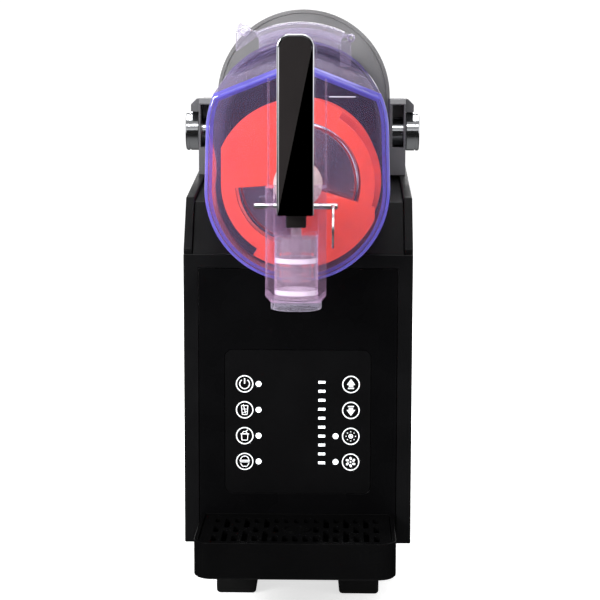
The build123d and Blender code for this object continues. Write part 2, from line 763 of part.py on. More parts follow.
with BuildPart() as bowl:
    add(outer_form)
    # spout column with its open-topped clevis
    block(
        -SPOUT_W / 2,
        SPOUT_W / 2,
        SPOUT_Y - 22,
        BOWL_FRONT_Y + 1,
        SPOUT_LOW_Z,
        SPOUT_TOP_Z,
    )
    chamfer(bowl.edges().filter_by(Axis.Y).group_by(Axis.Z)[0], 5)
    rod(PISTON_R + 3, (0, SPOUT_Y, SPOUT_LOW_Z), (0, SPOUT_Y, SPOUT_LOW_Z - 7))
    # guide ribs up the front
    for side in (-1, 1):
        block(
            side * RIB_X,
            side * (RIB_X - 1.5),
            BOWL_FRONT_Y - 1.2,
            BOWL_FRONT_Y,
            SPOUT_TOP_Z,
            ROOF_TOP_Z - 12,
        )
    # rear flange
    with BuildSketch(facing(BOWL_REAR_Y - FLANGE_T)):
        with BuildLine():
            low = CenterArc((0, BOWL_AXIS_Z), BOWL_R + 2, 180, 180)
            high = CenterArc((0, BOWL_TOP_AXIS_Z), BOWL_TOP_R + 2, 0, 180)
            Line(low @ 1, high @ 0)
            Line(high @ 1, low @ 0)
        make_face()
    extrude(amount=-FLANGE_T)
    # filler neck
    with BuildSketch(facing(NECK_Y0)):
        arch_band(BOWL_TOP_R - BOWL_WALL, NECK_R, NECK_HALF)
    extrude(amount=-(NECK_Y1 - NECK_Y0))
    # hinge post beside the neck
    block(
        NECK_HALF - 1,
        LID_HINGE_X,
        (NECK_Y0 + NECK_Y1) / 2 - 12,
        (NECK_Y0 + NECK_Y1) / 2 + 12,
        420,
        LID_HINGE_Z - 2,
    )
    rod(
        3.2,
        (LID_HINGE_X, (NECK_Y0 + NECK_Y1) / 2 - 12, LID_HINGE_Z),
        (LID_HINGE_X, (NECK_Y0 + NECK_Y1) / 2 + 12, LID_HINGE_Z),
    )
    # hollow inside
    add(inner_form, mode=Mode.SUBTRACT)
    with BuildSketch(facing(NECK_Y0 + NECK_WALL)):
        arch_band(BOWL_TOP_R - 12, NECK_R + 1, NECK_HALF - NECK_WALL)
    extrude(amount=-(NECK_Y1 - NECK_Y0 - 2 * NECK_WALL), mode=Mode.SUBTRACT)
    # piston bore, passage from the bowl and the clevis opening
    rod(
        SPOUT_BORE_R,
        (0, SPOUT_Y, SPOUT_LOW_Z - 8),
        (0, SPOUT_Y, SPOUT_TOP_Z + 1),
        mode=Mode.SUBTRACT,
    )
    block(
        -PASSAGE_W / 2,
        PASSAGE_W / 2,
        SPOUT_Y,
        BOWL_FRONT_Y + BOWL_WALL + 1,
        PASSAGE_Z0,
        PASSAGE_Z1,
        mode=Mode.SUBTRACT,
    )
    block(
        -SPOUT_BORE_R,
        SPOUT_BORE_R,
        SPOUT_Y - 23,
        SPOUT_Y + SPOUT_BORE_R,
        296,
        SPOUT_TOP_Z + 1,
        mode=Mode.SUBTRACT,
    )
    rod(
        PIVOT_R + RUN_GAP,
        (-SPOUT_W, PIVOT_Y, PIVOT_Z),
        (SPOUT_W, PIVOT_Y, PIVOT_Z),
        mode=Mode.SUBTRACT,
    )
    rod(
        1.5 + RUN_GAP,
        (LID_HINGE_X, NECK_Y0, LID_HINGE_Z),
        (LID_HINGE_X, NECK_Y1, LID_HINGE_Z),
        mode=Mode.SUBTRACT,
    )
finish(bowl, "bowl")

GASKET_T = 4

with BuildPart() as bowl_gasket:
    with BuildSketch(facing(TOWER_Y)):
        with BuildLine():
            low = CenterArc((0, BOWL_AXIS_Z), BOWL_R - 0.5, 180, 180)
            high = CenterArc((0, BOWL_TOP_AXIS_Z), BOWL_TOP_R - 0.5, 0, 180)
            Line(low @ 1, high @ 0)
            Line(high @ 1, low @ 0)
        make_face()
        with BuildLine():
            low = CenterArc((0, BOWL_AXIS_Z), BOWL_R - 5, 180, 180)
            high = CenterArc((0, BOWL_TOP_AXIS_Z), BOWL_TOP_R - 5, 0, 180)
            Line(low @ 1, high @ 0)
            Line(high @ 1, low @ 0)
        make_face(mode=Mode.SUBTRACT)
    extrude(amount=GASKET_T)
finish(bowl_gasket, "bowl_gasket")

# --- filler lid ---------------------------------------------------------------------------
LID_Y0 = NECK_Y0 - 3
LID_Y1 = NECK_Y1 + 3
LID_HALF = NECK_HALF + 3
SKIRT_R = 74.5
SKIRT_T = 2

with BuildPart() as filler_lid:
    with BuildSketch(facing(LID_Y0)):
        arch_band(NECK_R + 0.8, LID_R, LID_HALF)
    extrude(amount=-(LID_Y1 - LID_Y0))
    for y in (LID_Y0, LID_Y1 - SKIRT_T):
        with BuildSketch(facing(y)):
            arch_band(SKIRT_R, LID_R, LID_HALF)
        extrude(amount=-SKIRT_T)
    # finger tab with its loop at the free edge
    tab_y = NECK_Y0 + 12
    with BuildSketch(facing(tab_y)):
        with BuildLine():
            Polyline((-52.5, 432), (-52.5, 448), (-34.5, 450), (-34.5, 444), close=True)
        make_face()
        with Locations((-46, 450)):
            Circle(5.5)
        with Locations((-46, 450.5)):
            Circle(2.6, mode=Mode.SUBTRACT)
    extrude(amount=-14)
    # hinge knuckles
    for y in (NECK_Y0 + 8, NECK_Y1 - 20):
        rod(3.2, (LID_HINGE_X, y, LID_HINGE_Z), (LID_HINGE_X, y + 12, LID_HINGE_Z))
        block(LID_HALF - 3, LID_HINGE_X, y, y + 12, LID_HINGE_Z, LID_HINGE_Z + 3.2)
    rod(
        1.5 + RUN_GAP,
        (LID_HINGE_X, NECK_Y0, LID_HINGE_Z),
        (LID_HINGE_X, NECK_Y1, LID_HINGE_Z),
        mode=Mode.SUBTRACT,
    )
finish(filler_lid, "filler_lid")

with BuildPart() as lid_hinge_pin:
    rod(
        1.5,
        (LID_HINGE_X, NECK_Y0 + 6, LID_HINGE_Z),
        (LID_HINGE_X, NECK_Y1 - 6, LID_HINGE_Z),
    )
finish(lid_hinge_pin, "lid_hinge_pin")

# --- piston and its head ---------------------------------------------------------------------
PISTON_Z0 = 247
PISTON_Z1 = 292.5
SEAL_LOW_Z = 250
SEAL_TOP_Z = 274
SEAL_H = 4
GROOVE_R = PISTON_R - 2.4
HEAD_W = 14.6
HEAD_Z0 = 301
HEAD_Z1 = 325
ARM_REACH = 20  # pivot to the cross pin
CROSS_R = 2
SLOT_H = 7.6

with BuildPart() as piston:
    rod(PISTON_R, (0, SPOUT_Y, PISTON_Z0), (0, SPOUT_Y, PISTON_Z1))
    for z in (SEAL_LOW_Z, SEAL_TOP_Z):
        with Locations((0, SPOUT_Y, z + SEAL_H / 2)):
            Cylinder(PISTON_R + 1, SEAL_H, mode=Mode.SUBTRACT)
            Cylinder(GROOVE_R, SEAL_H)
    rod(
        PISTON_R - 5,
        (0, SPOUT_Y, SEAL_LOW_Z + 10),
        (0, SPOUT_Y, PISTON_Z1),
        mode=Mode.SUBTRACT,
    )
    rod(4, (0, SPOUT_Y, SEAL_LOW_Z + 10), (0, SPOUT_Y, HEAD_Z0))
finish(piston, "piston")


def make_piston_seal(name, z):
    """Rubber ring in one of the piston's grooves."""
    with BuildPart() as seal:
        with Locations((0, SPOUT_Y, z + SEAL_H / 2)):
            Cylinder(PISTON_R + 0.2, SEAL_H)
            Cylinder(GROOVE_R, SEAL_H, mode=Mode.SUBTRACT)
        fillet(seal.edges().filter_by(GeomType.CIRCLE).sort_by(SortBy.RADIUS)[-2:], 1)
    finish(seal, name)


make_piston_seal("piston_seal_lower", SEAL_LOW_Z)
make_piston_seal("piston_seal_upper", SEAL_TOP_Z)

with BuildPart() as piston_head:
    head_y0 = PIVOT_Y + 5.5
    head_y1 = PIVOT_Y + 29
    block(-HEAD_W / 2, HEAD_W / 2, head_y0, head_y1, HEAD_Z0, HEAD_Z1)
    fillet(piston_head.edges().filter_by(Axis.Z), 1.5)
    block(
        -HEAD_W,
        HEAD_W,
        PIVOT_Y + ARM_REACH / 2 - CROSS_R - 0.5,
        PIVOT_Y + ARM_REACH + CROSS_R + 0.8,
        PIVOT_Z - SLOT_H / 2,
        PIVOT_Z + SLOT_H / 2,
        mode=Mode.SUBTRACT,
    )
finish(piston_head, "piston_head")

# --- handle -----------------------------------------------------------------------------------
INSERT_INSET = 2
FORK_X0 = 8
FORK_X1 = 13.2
HANDLE_BACK_Y = HANDLE_FRONT_Y + HANDLE_T

with BuildPart() as handle_frame:
    with BuildSketch(facing(HANDLE_FRONT_Y)):
        with Locations((0, (HANDLE_LOW_Z + HANDLE_TOP_Z) / 2)):
            grip = Rectangle(HANDLE_W, HANDLE_TOP_Z - HANDLE_LOW_Z)
        fillet(grip.vertices().group_by(Axis.Y)[-1], 9.5)
    extrude(amount=-HANDLE_T)
    fillet(handle_frame.faces().sort_by(Axis.Y)[-1].edges(), 3)
    with BuildSketch(facing(HANDLE_FRONT_Y)):
        with Locations((0, (HANDLE_LOW_Z + HANDLE_TOP_Z) / 2 - 0.6)):
            well = Rectangle(
                HANDLE_W - 2 * INSERT_INSET,
                HANDLE_TOP_Z - HANDLE_LOW_Z - 2 * INSERT_INSET + 1.2,
            )
        fillet(well.vertices().group_by(Axis.Y)[-1], 8)
    extrude(amount=-(HANDLE_T - 3), mode=Mode.SUBTRACT)
finish(handle_frame, "handle_frame")

with BuildPart() as handle_insert:
    with BuildSketch(facing(HANDLE_FRONT_Y + 0.4)):
        with Locations((0, (HANDLE_LOW_Z + HANDLE_TOP_Z) / 2 - 0.6)):
            pad = Rectangle(
                HANDLE_W - 2 * INSERT_INSET,
                HANDLE_TOP_Z - HANDLE_LOW_Z - 2 * INSERT_INSET + 1.2,
            )
        fillet(pad.vertices().group_by(Axis.Y)[-1], 8)
    extrude(amount=-(HANDLE_T - 3.4))
finish(handle_insert, "handle_insert")

with BuildPart() as handle_fork:
    block(
        -FORK_X1,
        FORK_X1,
        HANDLE_BACK_Y,
        HANDLE_BACK_Y + 2.4,
        PIVOT_Z - 5,
        PIVOT_Z + 30,
    )
    for side in (-1, 1):
        x0, x1 = side * FORK_X0, side * FORK_X1
        rod(5.4, (x0, PIVOT_Y, PIVOT_Z), (x1, PIVOT_Y, PIVOT_Z))
        block(x0, x1, HANDLE_BACK_Y, PIVOT_Y, PIVOT_Z - 4, PIVOT_Z + 4)
        block(x0, x1, PIVOT_Y, PIVOT_Y + ARM_REACH, PIVOT_Z - 3.4, PIVOT_Z + 3.4)
        rod(
            3.4,
            (x0, PIVOT_Y + ARM_REACH, PIVOT_Z),
            (x1, PIVOT_Y + ARM_REACH, PIVOT_Z),
        )
    rod(
        PIVOT_R + RUN_GAP,
        (-FORK_X1 - 1, PIVOT_Y, PIVOT_Z),
        (FORK_X1 + 1, PIVOT_Y, PIVOT_Z),
        mode=Mode.SUBTRACT,
    )
    rod(
        CROSS_R,
        (-FORK_X1, PIVOT_Y + ARM_REACH, PIVOT_Z),
        (FORK_X1, PIVOT_Y + ARM_REACH, PIVOT_Z),
    )
finish(handle_fork, "handle_fork")

PIN_HALF = 31
RING_X = 27.5
RING_R = 15
RING_WIRE_R = 1.1

with BuildPart() as pivot_pin:
    rod(PIVOT_R, (-PIN_HALF, PIVOT_Y, PIVOT_Z), (PIN_HALF, PIVOT_Y, PIVOT_Z))
    chamfer(pivot_pin.edges().filter_by(GeomType.CIRCLE), 0.5)
    rod(
        RING_WIRE_R + 0.4,
        (RING_X, PIVOT_Y - 4, PIVOT_Z),
        (RING_X, PIVOT_Y + 4, PIVOT_Z),
        mode=Mode.SUBTRACT,
    )
finish(pivot_pin, "pivot_pin")

with BuildPart() as split_ring:
    with BuildSketch(Plane.XZ.offset(-PIVOT_Y)):
        with Locations((RING_X, PIVOT_Z)):
            Circle(RING_WIRE_R)
    revolve(axis=Axis((0, PIVOT_Y, PIVOT_Z - RING_R), (1, 0, 0)))
finish(split_ring, "split_ring")

# --- latches ------------------------------------------------------------------------------------
LATCH_SHAFT_R = 12.5
BRACKET_TOP_Z = 393
BRACKET_Y0 = behind(136)
BRACKET_Y1 = TOWER_Y - 1.2
CAP_LOW_Z = LATCH_Z + KNOB_R + PART_GAP


def make_latch(side_name, side):
    """Bracket on the case's ledge, its turning shaft and the bright knob."""
    rise = (LEDGE_Z - KNEE_Z) / (TOWER_D - 5 - SLOPE_D)
    low = KNEE_Z + rise * (BRACKET_Y0 - behind(SLOPE_D))
    with BuildPart() as bracket:
        with BuildSketch(Plane.YZ.offset(side * BRACKET_X0)):
            with BuildLine():
                Polyline(
                    (BRACKET_Y0, low),
                    (BRACKET_Y0, BRACKET_TOP_Z - 4),
                    (BRACKET_Y0 + 4, BRACKET_TOP_Z),
                    (BRACKET_Y1, BRACKET_TOP_Z),
                    (BRACKET_Y1, LEDGE_Z),
                    (behind(TOWER_D - 5), LEDGE_Z),
                    close=True,
                )
            make_face()
        extrude(amount=side * (BRACKET_X1 - BRACKET_X0))
        block(
            side * BRACKET_X1,
            side * (BRACKET_X1 + 7),
            LATCH_Y - 19,
            LATCH_Y + 19,
            CAP_LOW_Z,
            BRACKET_TOP_Z,
        )
        outer_edges = bracket.edges().filter_by(Axis.Y).sort_by(Axis.X)
        cap_edge = outer_edges[-2:] if side > 0 else outer_edges[:2]
        chamfer(cap_edge.sort_by(Axis.Z)[-1], 5)
        block(
            side * (BRACKET_X0 + 2.2),
            side * (BRACKET_X1 - 1.6),
            BRACKET_Y0 - 1,
            LATCH_Y,
            LATCH_Z - 13,
            LATCH_Z + 23,
            mode=Mode.SUBTRACT,
        )
        rod(
            LATCH_SHAFT_R + RUN_GAP,
            (side * (BRACKET_X0 - 1), LATCH_Y, LATCH_Z),
            (side * (BRACKET_X1 + 0.1), LATCH_Y, LATCH_Z),
            mode=Mode.SUBTRACT,
        )
    finish(bracket, f"latch_bracket_{side_name}")
    with BuildPart() as shaft:
        rod(
            LATCH_SHAFT_R,
            (side * (BRACKET_X0 + 0.4), LATCH_Y, LATCH_Z),
            (side * KNOB_X0, LATCH_Y, LATCH_Z),
        )
    finish(shaft, f"latch_shaft_{side_name}")
    with BuildPart() as knob:
        with BuildSketch(Plane.XY.offset(LATCH_Z)):
            with BuildLine():
                Polyline(
                    (side * KNOB_X0, LATCH_Y),
                    (side * KNOB_X0, LATCH_Y + KNOB_R - 1),
                    (side * (KNOB_X0 + 1), LATCH_Y + KNOB_R),
                    (side * (KNOB_X1 - 4), LATCH_Y + KNOB_R),
                    (side * (KNOB_X1 - 4), LATCH_Y + KNOB_R - 0.8),
                    (side * (KNOB_X1 - 3), LATCH_Y + KNOB_R - 0.8),
                    (side * (KNOB_X1 - 3), LATCH_Y + KNOB_R),
                    (side * (KNOB_X1 - 0.8), LATCH_Y + KNOB_R),
                    (side * KNOB_X1, LATCH_Y + KNOB_R - 0.8),
                    (side * KNOB_X1, LATCH_Y + 11),
                    (side * (KNOB_X1 - 1.2), LATCH_Y + 10),
                    (side * (KNOB_X1 - 1.2), LATCH_Y),
                    close=True,
                )
            make_face()
        revolve(axis=Axis((0, LATCH_Y, LATCH_Z), (1, 0, 0)))
    finish(knob, f"latch_knob_{side_name}")


make_latch("left", -1)
make_latch("right", 1)

# --- drip tray and grid ----------------------------------------------------------------------------
TRAY_Y0 = behind(-TRAY_REACH)
TRAY_Y1 = behind(-PART_GAP)
GRID_TOP_Z = TRAY_TOP_Z - 1.2
GRID_T = 3
SLOT_PITCH = 7.7
SLOT_W = 4.2
SLOT_COLUMNS = 17
EVEN_SLOTS = ((15, 28), (39, 57), (67, 84))  # distances in front of the panel
ODD_SLOTS = ((15, 43), (52, 84))
MIDDLE_SLOTS = ((15, 28), (67, 84))  # three columns that leave room for the boss
BOSS_R = 11
BOSS_Y = -48


def tray_outline(inset, corner):
    """Tray's plan shape: square at the back, rounded at the front."""
    width = TRAY_W - 2 * inset
    depth = TRAY_Y1 - TRAY_Y0 - 2 * inset
    with Locations((0, (TRAY_Y0 + TRAY_Y1) / 2)):
        plan = Rectangle(width, depth)
    fillet(plan.vertices().group_by(Axis.Y)[0], corner)


with BuildPart() as drip_tray:
    with BuildSketch(Plane.XY.offset(TRAY_TOP_Z)):
        tray_outline(0, 14)
    extrude(amount=-(TRAY_TOP_Z - TRAY_LOW_Z))
    chamfer(drip_tray.faces().sort_by(Axis.Z)[0].edges(), 1.5)
    with BuildSketch(Plane.XY.offset(TRAY_TOP_Z)):
        tray_outline(TRAY_WALL, 11.5)
    extrude(amount=-(TRAY_TOP_Z - TRAY_LOW_Z - TRAY_WALL), mode=Mode.SUBTRACT)
    for x in (-60, 60):
        for y in (TRAY_Y0 + 14, TRAY_Y1 - 12):
            rod(4, (x, y, TRAY_LOW_Z + 1), (x, y, GRID_TOP_Z - GRID_T))
    for x in (-HOOK_X, HOOK_X):
        block(x - 7, x + 7, TRAY_Y1 - 1, behind(SKIN + 3), HOOK_Z - 2, HOOK_Z + 2)
finish(drip_tray, "drip_tray")

with BuildPart() as drip_grid:
    with BuildSketch(Plane.XY.offset(GRID_TOP_Z)):
        tray_outline(TRAY_WALL + 0.5, 11)
    extrude(amount=-GRID_T)
    with BuildSketch(Plane.XY.offset(GRID_TOP_Z)):
        with Locations((0, behind(BOSS_Y))):
            Circle(BOSS_R)
            Circle(BOSS_R - 2, mode=Mode.SUBTRACT)
    extrude(amount=TRAY_TOP_Z - GRID_TOP_Z)
    middle = SLOT_COLUMNS // 2
    for column in range(SLOT_COLUMNS):
        slots = ODD_SLOTS if column % 2 else EVEN_SLOTS
        if abs(column - middle) < 2:
            slots = MIDDLE_SLOTS
        with BuildSketch(Plane.XY.offset(GRID_TOP_Z)):
            for near, far in slots:
                with Locations(((column - middle) * SLOT_PITCH, behind(-(near + far) / 2))):
                    SlotOverall(far - near, SLOT_W, rotation=90)
        extrude(amount=-GRID_T, mode=Mode.SUBTRACT)
finish(drip_grid, "drip_grid")

# --- electrics, pipes and screws ---------------------------------------------------------------------
with BuildPart() as power_board:
    block(-76, -74.4, behind(60), behind(160), 110, 200)
    block(-74.4, -58, behind(70), behind(100), 120, 150)
    block(-74.4, -64, behind(110), behind(150), 125, 180)
    rod(9, (-74.4, behind(84), 175), (-50, behind(84), 175))
finish(power_board, "power_board")

DRYER_X = 68
DRYER_Y = behind(150)

with BuildPart() as filter_dryer:
    rod(9, (DRYER_X, DRYER_Y, 90), (DRYER_X, DRYER_Y, 170))
    fillet(filter_dryer.edges(), 6)
finish(filter_dryer, "filter_dryer")

PIPE_R = 3


def make_pipe(name, points, bend):
    """Copper tube through the points, with round bends."""
    with BuildPart() as pipe:
        with BuildLine() as route:
            FilletPolyline(*points, radius=bend)
        with BuildSketch(Plane(origin=route.line @ 0, z_dir=route.line % 0)):
            Circle(PIPE_R)
        sweep(path=route.line)
    finish(pipe, name)


cond_y = COND_Y0 + COND_D / 2
make_pipe(
    "discharge_pipe",
    [
        (-16, COMP_Y, COMP_TOP_Z),
        (-16, COMP_Y, 215),
        (-16, cond_y, 215),
        (-16, cond_y, COND_Z1),
    ],
    14,
)
make_pipe(
    "suction_pipe",
    [
        (16, COMP_Y, COMP_TOP_Z),
        (16, COMP_Y, 228),
        (16, TOWER_Y + 14, 228),
        (16, TOWER_Y + 14, AXIS_Z - 44),
    ],
    6,
)


def make_screws(name, places, direction, head_r, head_t, shank_r, shank):
    """Group of identical screws, heads at the places, shanks along direction."""
    with BuildPart() as screws:
        for place in places:
            head = Vector(*place)
            seat = head + Vector(*direction) * head_t
            rod(head_r, tuple(head), tuple(seat))
            rod(shank_r, tuple(seat), tuple(seat + Vector(*direction) * shank))
    finish(screws, name)


rear_mid_z = (rear_z0 + rear_z1) / 2
rear_places = [
    (x, BACK_Y + 1.8, rear_mid_z + dz) for x in (-74, 74) for dz in (-125, 125)
]
make_screws("rear_panel_screws", rear_places, (0, -1, 0), 3.2, 1.8, 1.65, 9)
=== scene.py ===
"""Slushie machine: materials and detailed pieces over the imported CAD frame."""

import json
import math

import bmesh
import bpy
from mathutils import Euler, Matrix, Vector


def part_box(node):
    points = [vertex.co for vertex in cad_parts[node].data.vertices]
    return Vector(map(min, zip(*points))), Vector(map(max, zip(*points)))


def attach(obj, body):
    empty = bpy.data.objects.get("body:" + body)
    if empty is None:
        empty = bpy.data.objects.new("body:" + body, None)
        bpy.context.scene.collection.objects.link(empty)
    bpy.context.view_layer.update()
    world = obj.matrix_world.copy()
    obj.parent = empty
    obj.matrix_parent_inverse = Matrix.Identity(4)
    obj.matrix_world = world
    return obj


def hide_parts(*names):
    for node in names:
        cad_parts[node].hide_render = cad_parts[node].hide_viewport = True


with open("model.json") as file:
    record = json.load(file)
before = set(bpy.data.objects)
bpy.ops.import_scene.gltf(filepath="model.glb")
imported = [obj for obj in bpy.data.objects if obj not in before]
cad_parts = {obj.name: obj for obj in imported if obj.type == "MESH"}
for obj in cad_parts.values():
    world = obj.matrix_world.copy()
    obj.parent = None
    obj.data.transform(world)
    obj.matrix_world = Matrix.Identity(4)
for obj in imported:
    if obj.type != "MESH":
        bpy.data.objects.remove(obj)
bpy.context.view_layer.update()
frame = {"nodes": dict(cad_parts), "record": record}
nodes = frame["nodes"]
MM = 0.001

# --- places read from the frame -------------------------------------------------------------------
CASE_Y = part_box("front_frame")[0].y
bowl_lo, bowl_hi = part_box("bowl")
gasket_lo, gasket_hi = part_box("bowl_gasket")
pin_lo, pin_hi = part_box("pivot_pin")
lid_lo, lid_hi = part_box("filler_lid")
piston_lo, piston_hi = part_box("piston")
overlay_lo, overlay_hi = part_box("control_overlay")
BOWL_Y = CASE_Y - 35 * MM
STEP_Y = CASE_Y - 8 * MM
TROUGH_R = gasket_hi.x + 0.5 * MM
TOP_R = TROUGH_R - 1.2 * MM
TROUGH_Z = gasket_lo.z + gasket_hi.x
TOP_Z = gasket_hi.z - TOP_R + 0.5 * MM
WALL = 3 * MM
PIN_Y = (pin_lo.y + pin_hi.y) / 2
PIN_Z = (pin_lo.z + pin_hi.z) / 2
PISTON_Y = (piston_lo.y + piston_hi.y) / 2


# --- node material helpers ------------------------------------------------------------------------
def wire(tree, kind, props=None, **inputs):
    """New shader node; inputs are values or sockets, named with _ for a space, or i0, i1 by number."""
    node = tree.nodes.new("ShaderNode" + kind)
    for key, value in (props or {}).items():
        setattr(node, key, value)
    for key, value in inputs.items():
        name = key.replace("_", " ")
        numbered = key[0] == "i" and key[1:].isdigit()
        socket = node.inputs[int(key[1:]) if numbered else name]
        if isinstance(value, bpy.types.NodeSocket):
            tree.links.new(value, socket)
        else:
            socket.default_value = value
    return node


def new_tree(name):
    material = bpy.data.materials.new(name)
    material.use_nodes = True
    tree = material.node_tree
    tree.nodes.clear()
    return material, tree, tree.nodes.new("ShaderNodeOutputMaterial")


def rgb(colour, scale=1.0):
    return tuple(min(1.0, c * scale) for c in colour) + (1.0,)


def grain_of(tree, size, stretch=(1, 1, 1), detail=4.0):
    """Fine noise with features of about size metres, stretched along an axis."""
    coords = wire(tree, "TexCoord").outputs["Object"]
    mapped = wire(tree, "Mapping", Vector=coords, Scale=stretch).outputs["Vector"]
    return wire(tree, "TexNoise", Vector=mapped, Scale=1 / size, Detail=detail).outputs["Fac"]


def ranged(tree, value, low, high, start=0.3, end=0.7):
    return wire(
        tree, "MapRange", Value=value, From_Min=start, From_Max=end, To_Min=low, To_Max=high
    ).outputs["Result"]


def mixed(tree, factor, first, second):
    node = wire(tree, "Mix", {"data_type": "RGBA"}, i0=factor)
    for index, value in ((6, first), (7, second)):
        if isinstance(value, bpy.types.NodeSocket):
            tree.links.new(value, node.inputs[index])
        else:
            node.inputs[index].default_value = value
    return node.outputs[2]


BROAD_GRAIN = 38 * MM
WEAR_GRAIN = 9 * MM
HAIR_GRAIN = 1.2 * MM
HEAD_ON_SHINE = 0.045


def solid(
    name,
    colour,
    rough,
    metallic=0.0,
    specular=0.5,
    grain=0.7,
    depth=0.02,
    vary=0.12,
    smudge=0.06,
    stretch=(1, 1, 1),
    subsurface=0.0,
):
    """Moulded plastic, rubber or metal: tone, roughness and bump vary over the surface."""
    material, tree, out = new_tree(name)
    fine = grain_of(tree, grain * MM, stretch)
    broad = grain_of(tree, BROAD_GRAIN, detail=3.0)
    half_broad = ranged(tree, broad, 0, 0.5)
    tone = wire(tree, "Math", {"operation": "MULTIPLY_ADD"}, i0=fine, i1=0.5, i2=half_broad)
    colour_socket = mixed(
        tree,
        ranged(tree, tone.outputs[0], 0, 1, 0.25, 0.75),
        rgb(colour, 1 - vary),
        rgb(colour, 1 + vary),
    )
    bump = wire(tree, "Bump", Strength=0.6, Distance=depth * MM, Height=fine).outputs["Normal"]
    shader = wire(
        tree,
        "BsdfPrincipled",
        Base_Color=colour_socket,
        Roughness=ranged(tree, broad, max(0.02, rough - smudge), rough + smudge),
        Metallic=metallic,
        Specular_IOR_Level=specular,
        Normal=bump,
        Subsurface_Weight=subsurface,
    )
    if subsurface:
        shader.inputs["Subsurface Radius"].default_value = (4 * MM, 1.5 * MM, 1 * MM)
        shader.inputs["Subsurface Scale"].default_value = 1.0
    tree.links.new(shader.outputs[0], out.inputs[0])
    return material


def clear(name, tint, edge, edge_share, milk=0.02, gloss=0.05, start=0.55):
    """Clear tinted plastic: see-through face-on, coloured and shiny at a glance."""
    material, tree, out = new_tree(name)
    facing = wire(tree, "LayerWeight", Blend=0.5).outputs["Facing"]
    wear = grain_of(tree, WEAR_GRAIN, detail=5.0)
    hair = grain_of(tree, HAIR_GRAIN, (1, 1, 0.06))
    glance = wire(
        tree, "MapRange", Value=facing, From_Min=start, From_Max=1.0, To_Min=milk, To_Max=edge_share
    ).outputs["Result"]
    scuffs = ranged(tree, hair, 0, 1, 0.62, 0.8)
    clouded = wire(
        tree, "Math", {"operation": "MULTIPLY_ADD"}, i0=scuffs, i1=0.02, i2=glance
    ).outputs[0]
    through = wire(
        tree,
        "BsdfTransparent",
        Color=mixed(tree, ranged(tree, wear, 0, 1), rgb(tint), rgb(tint, 0.93)),
    )
    tone = mixed(tree, ranged(tree, wear, 0, 1), rgb(edge, 0.9), rgb(edge, 1.08))
    front = wire(tree, "BsdfDiffuse", Color=tone)
    back = wire(tree, "BsdfTranslucent", Color=tone)
    body = wire(tree, "MixShader", i0=0.5, i1=front.outputs[0], i2=back.outputs[0])
    inner = wire(tree, "MixShader", i0=clouded, i1=through.outputs[0], i2=body.outputs[0])
    shine = wire(
        tree,
        "BsdfGlossy",
        Color=(1, 1, 1, 1),
        Roughness=ranged(tree, wear, gloss * 0.7, gloss * 1.5),
    )
    power = wire(tree, "Math", {"operation": "POWER"}, i0=facing, i1=4.0).outputs[0]
    schlick = wire(tree, "Math", {"operation": "MULTIPLY_ADD"}, i0=power, i1=0.75, i2=HEAD_ON_SHINE)
    whole = wire(tree, "MixShader", i0=schlick.outputs[0], i1=inner.outputs[0], i2=shine.outputs[0])
    tree.links.new(whole.outputs[0], out.inputs[0])
    return material


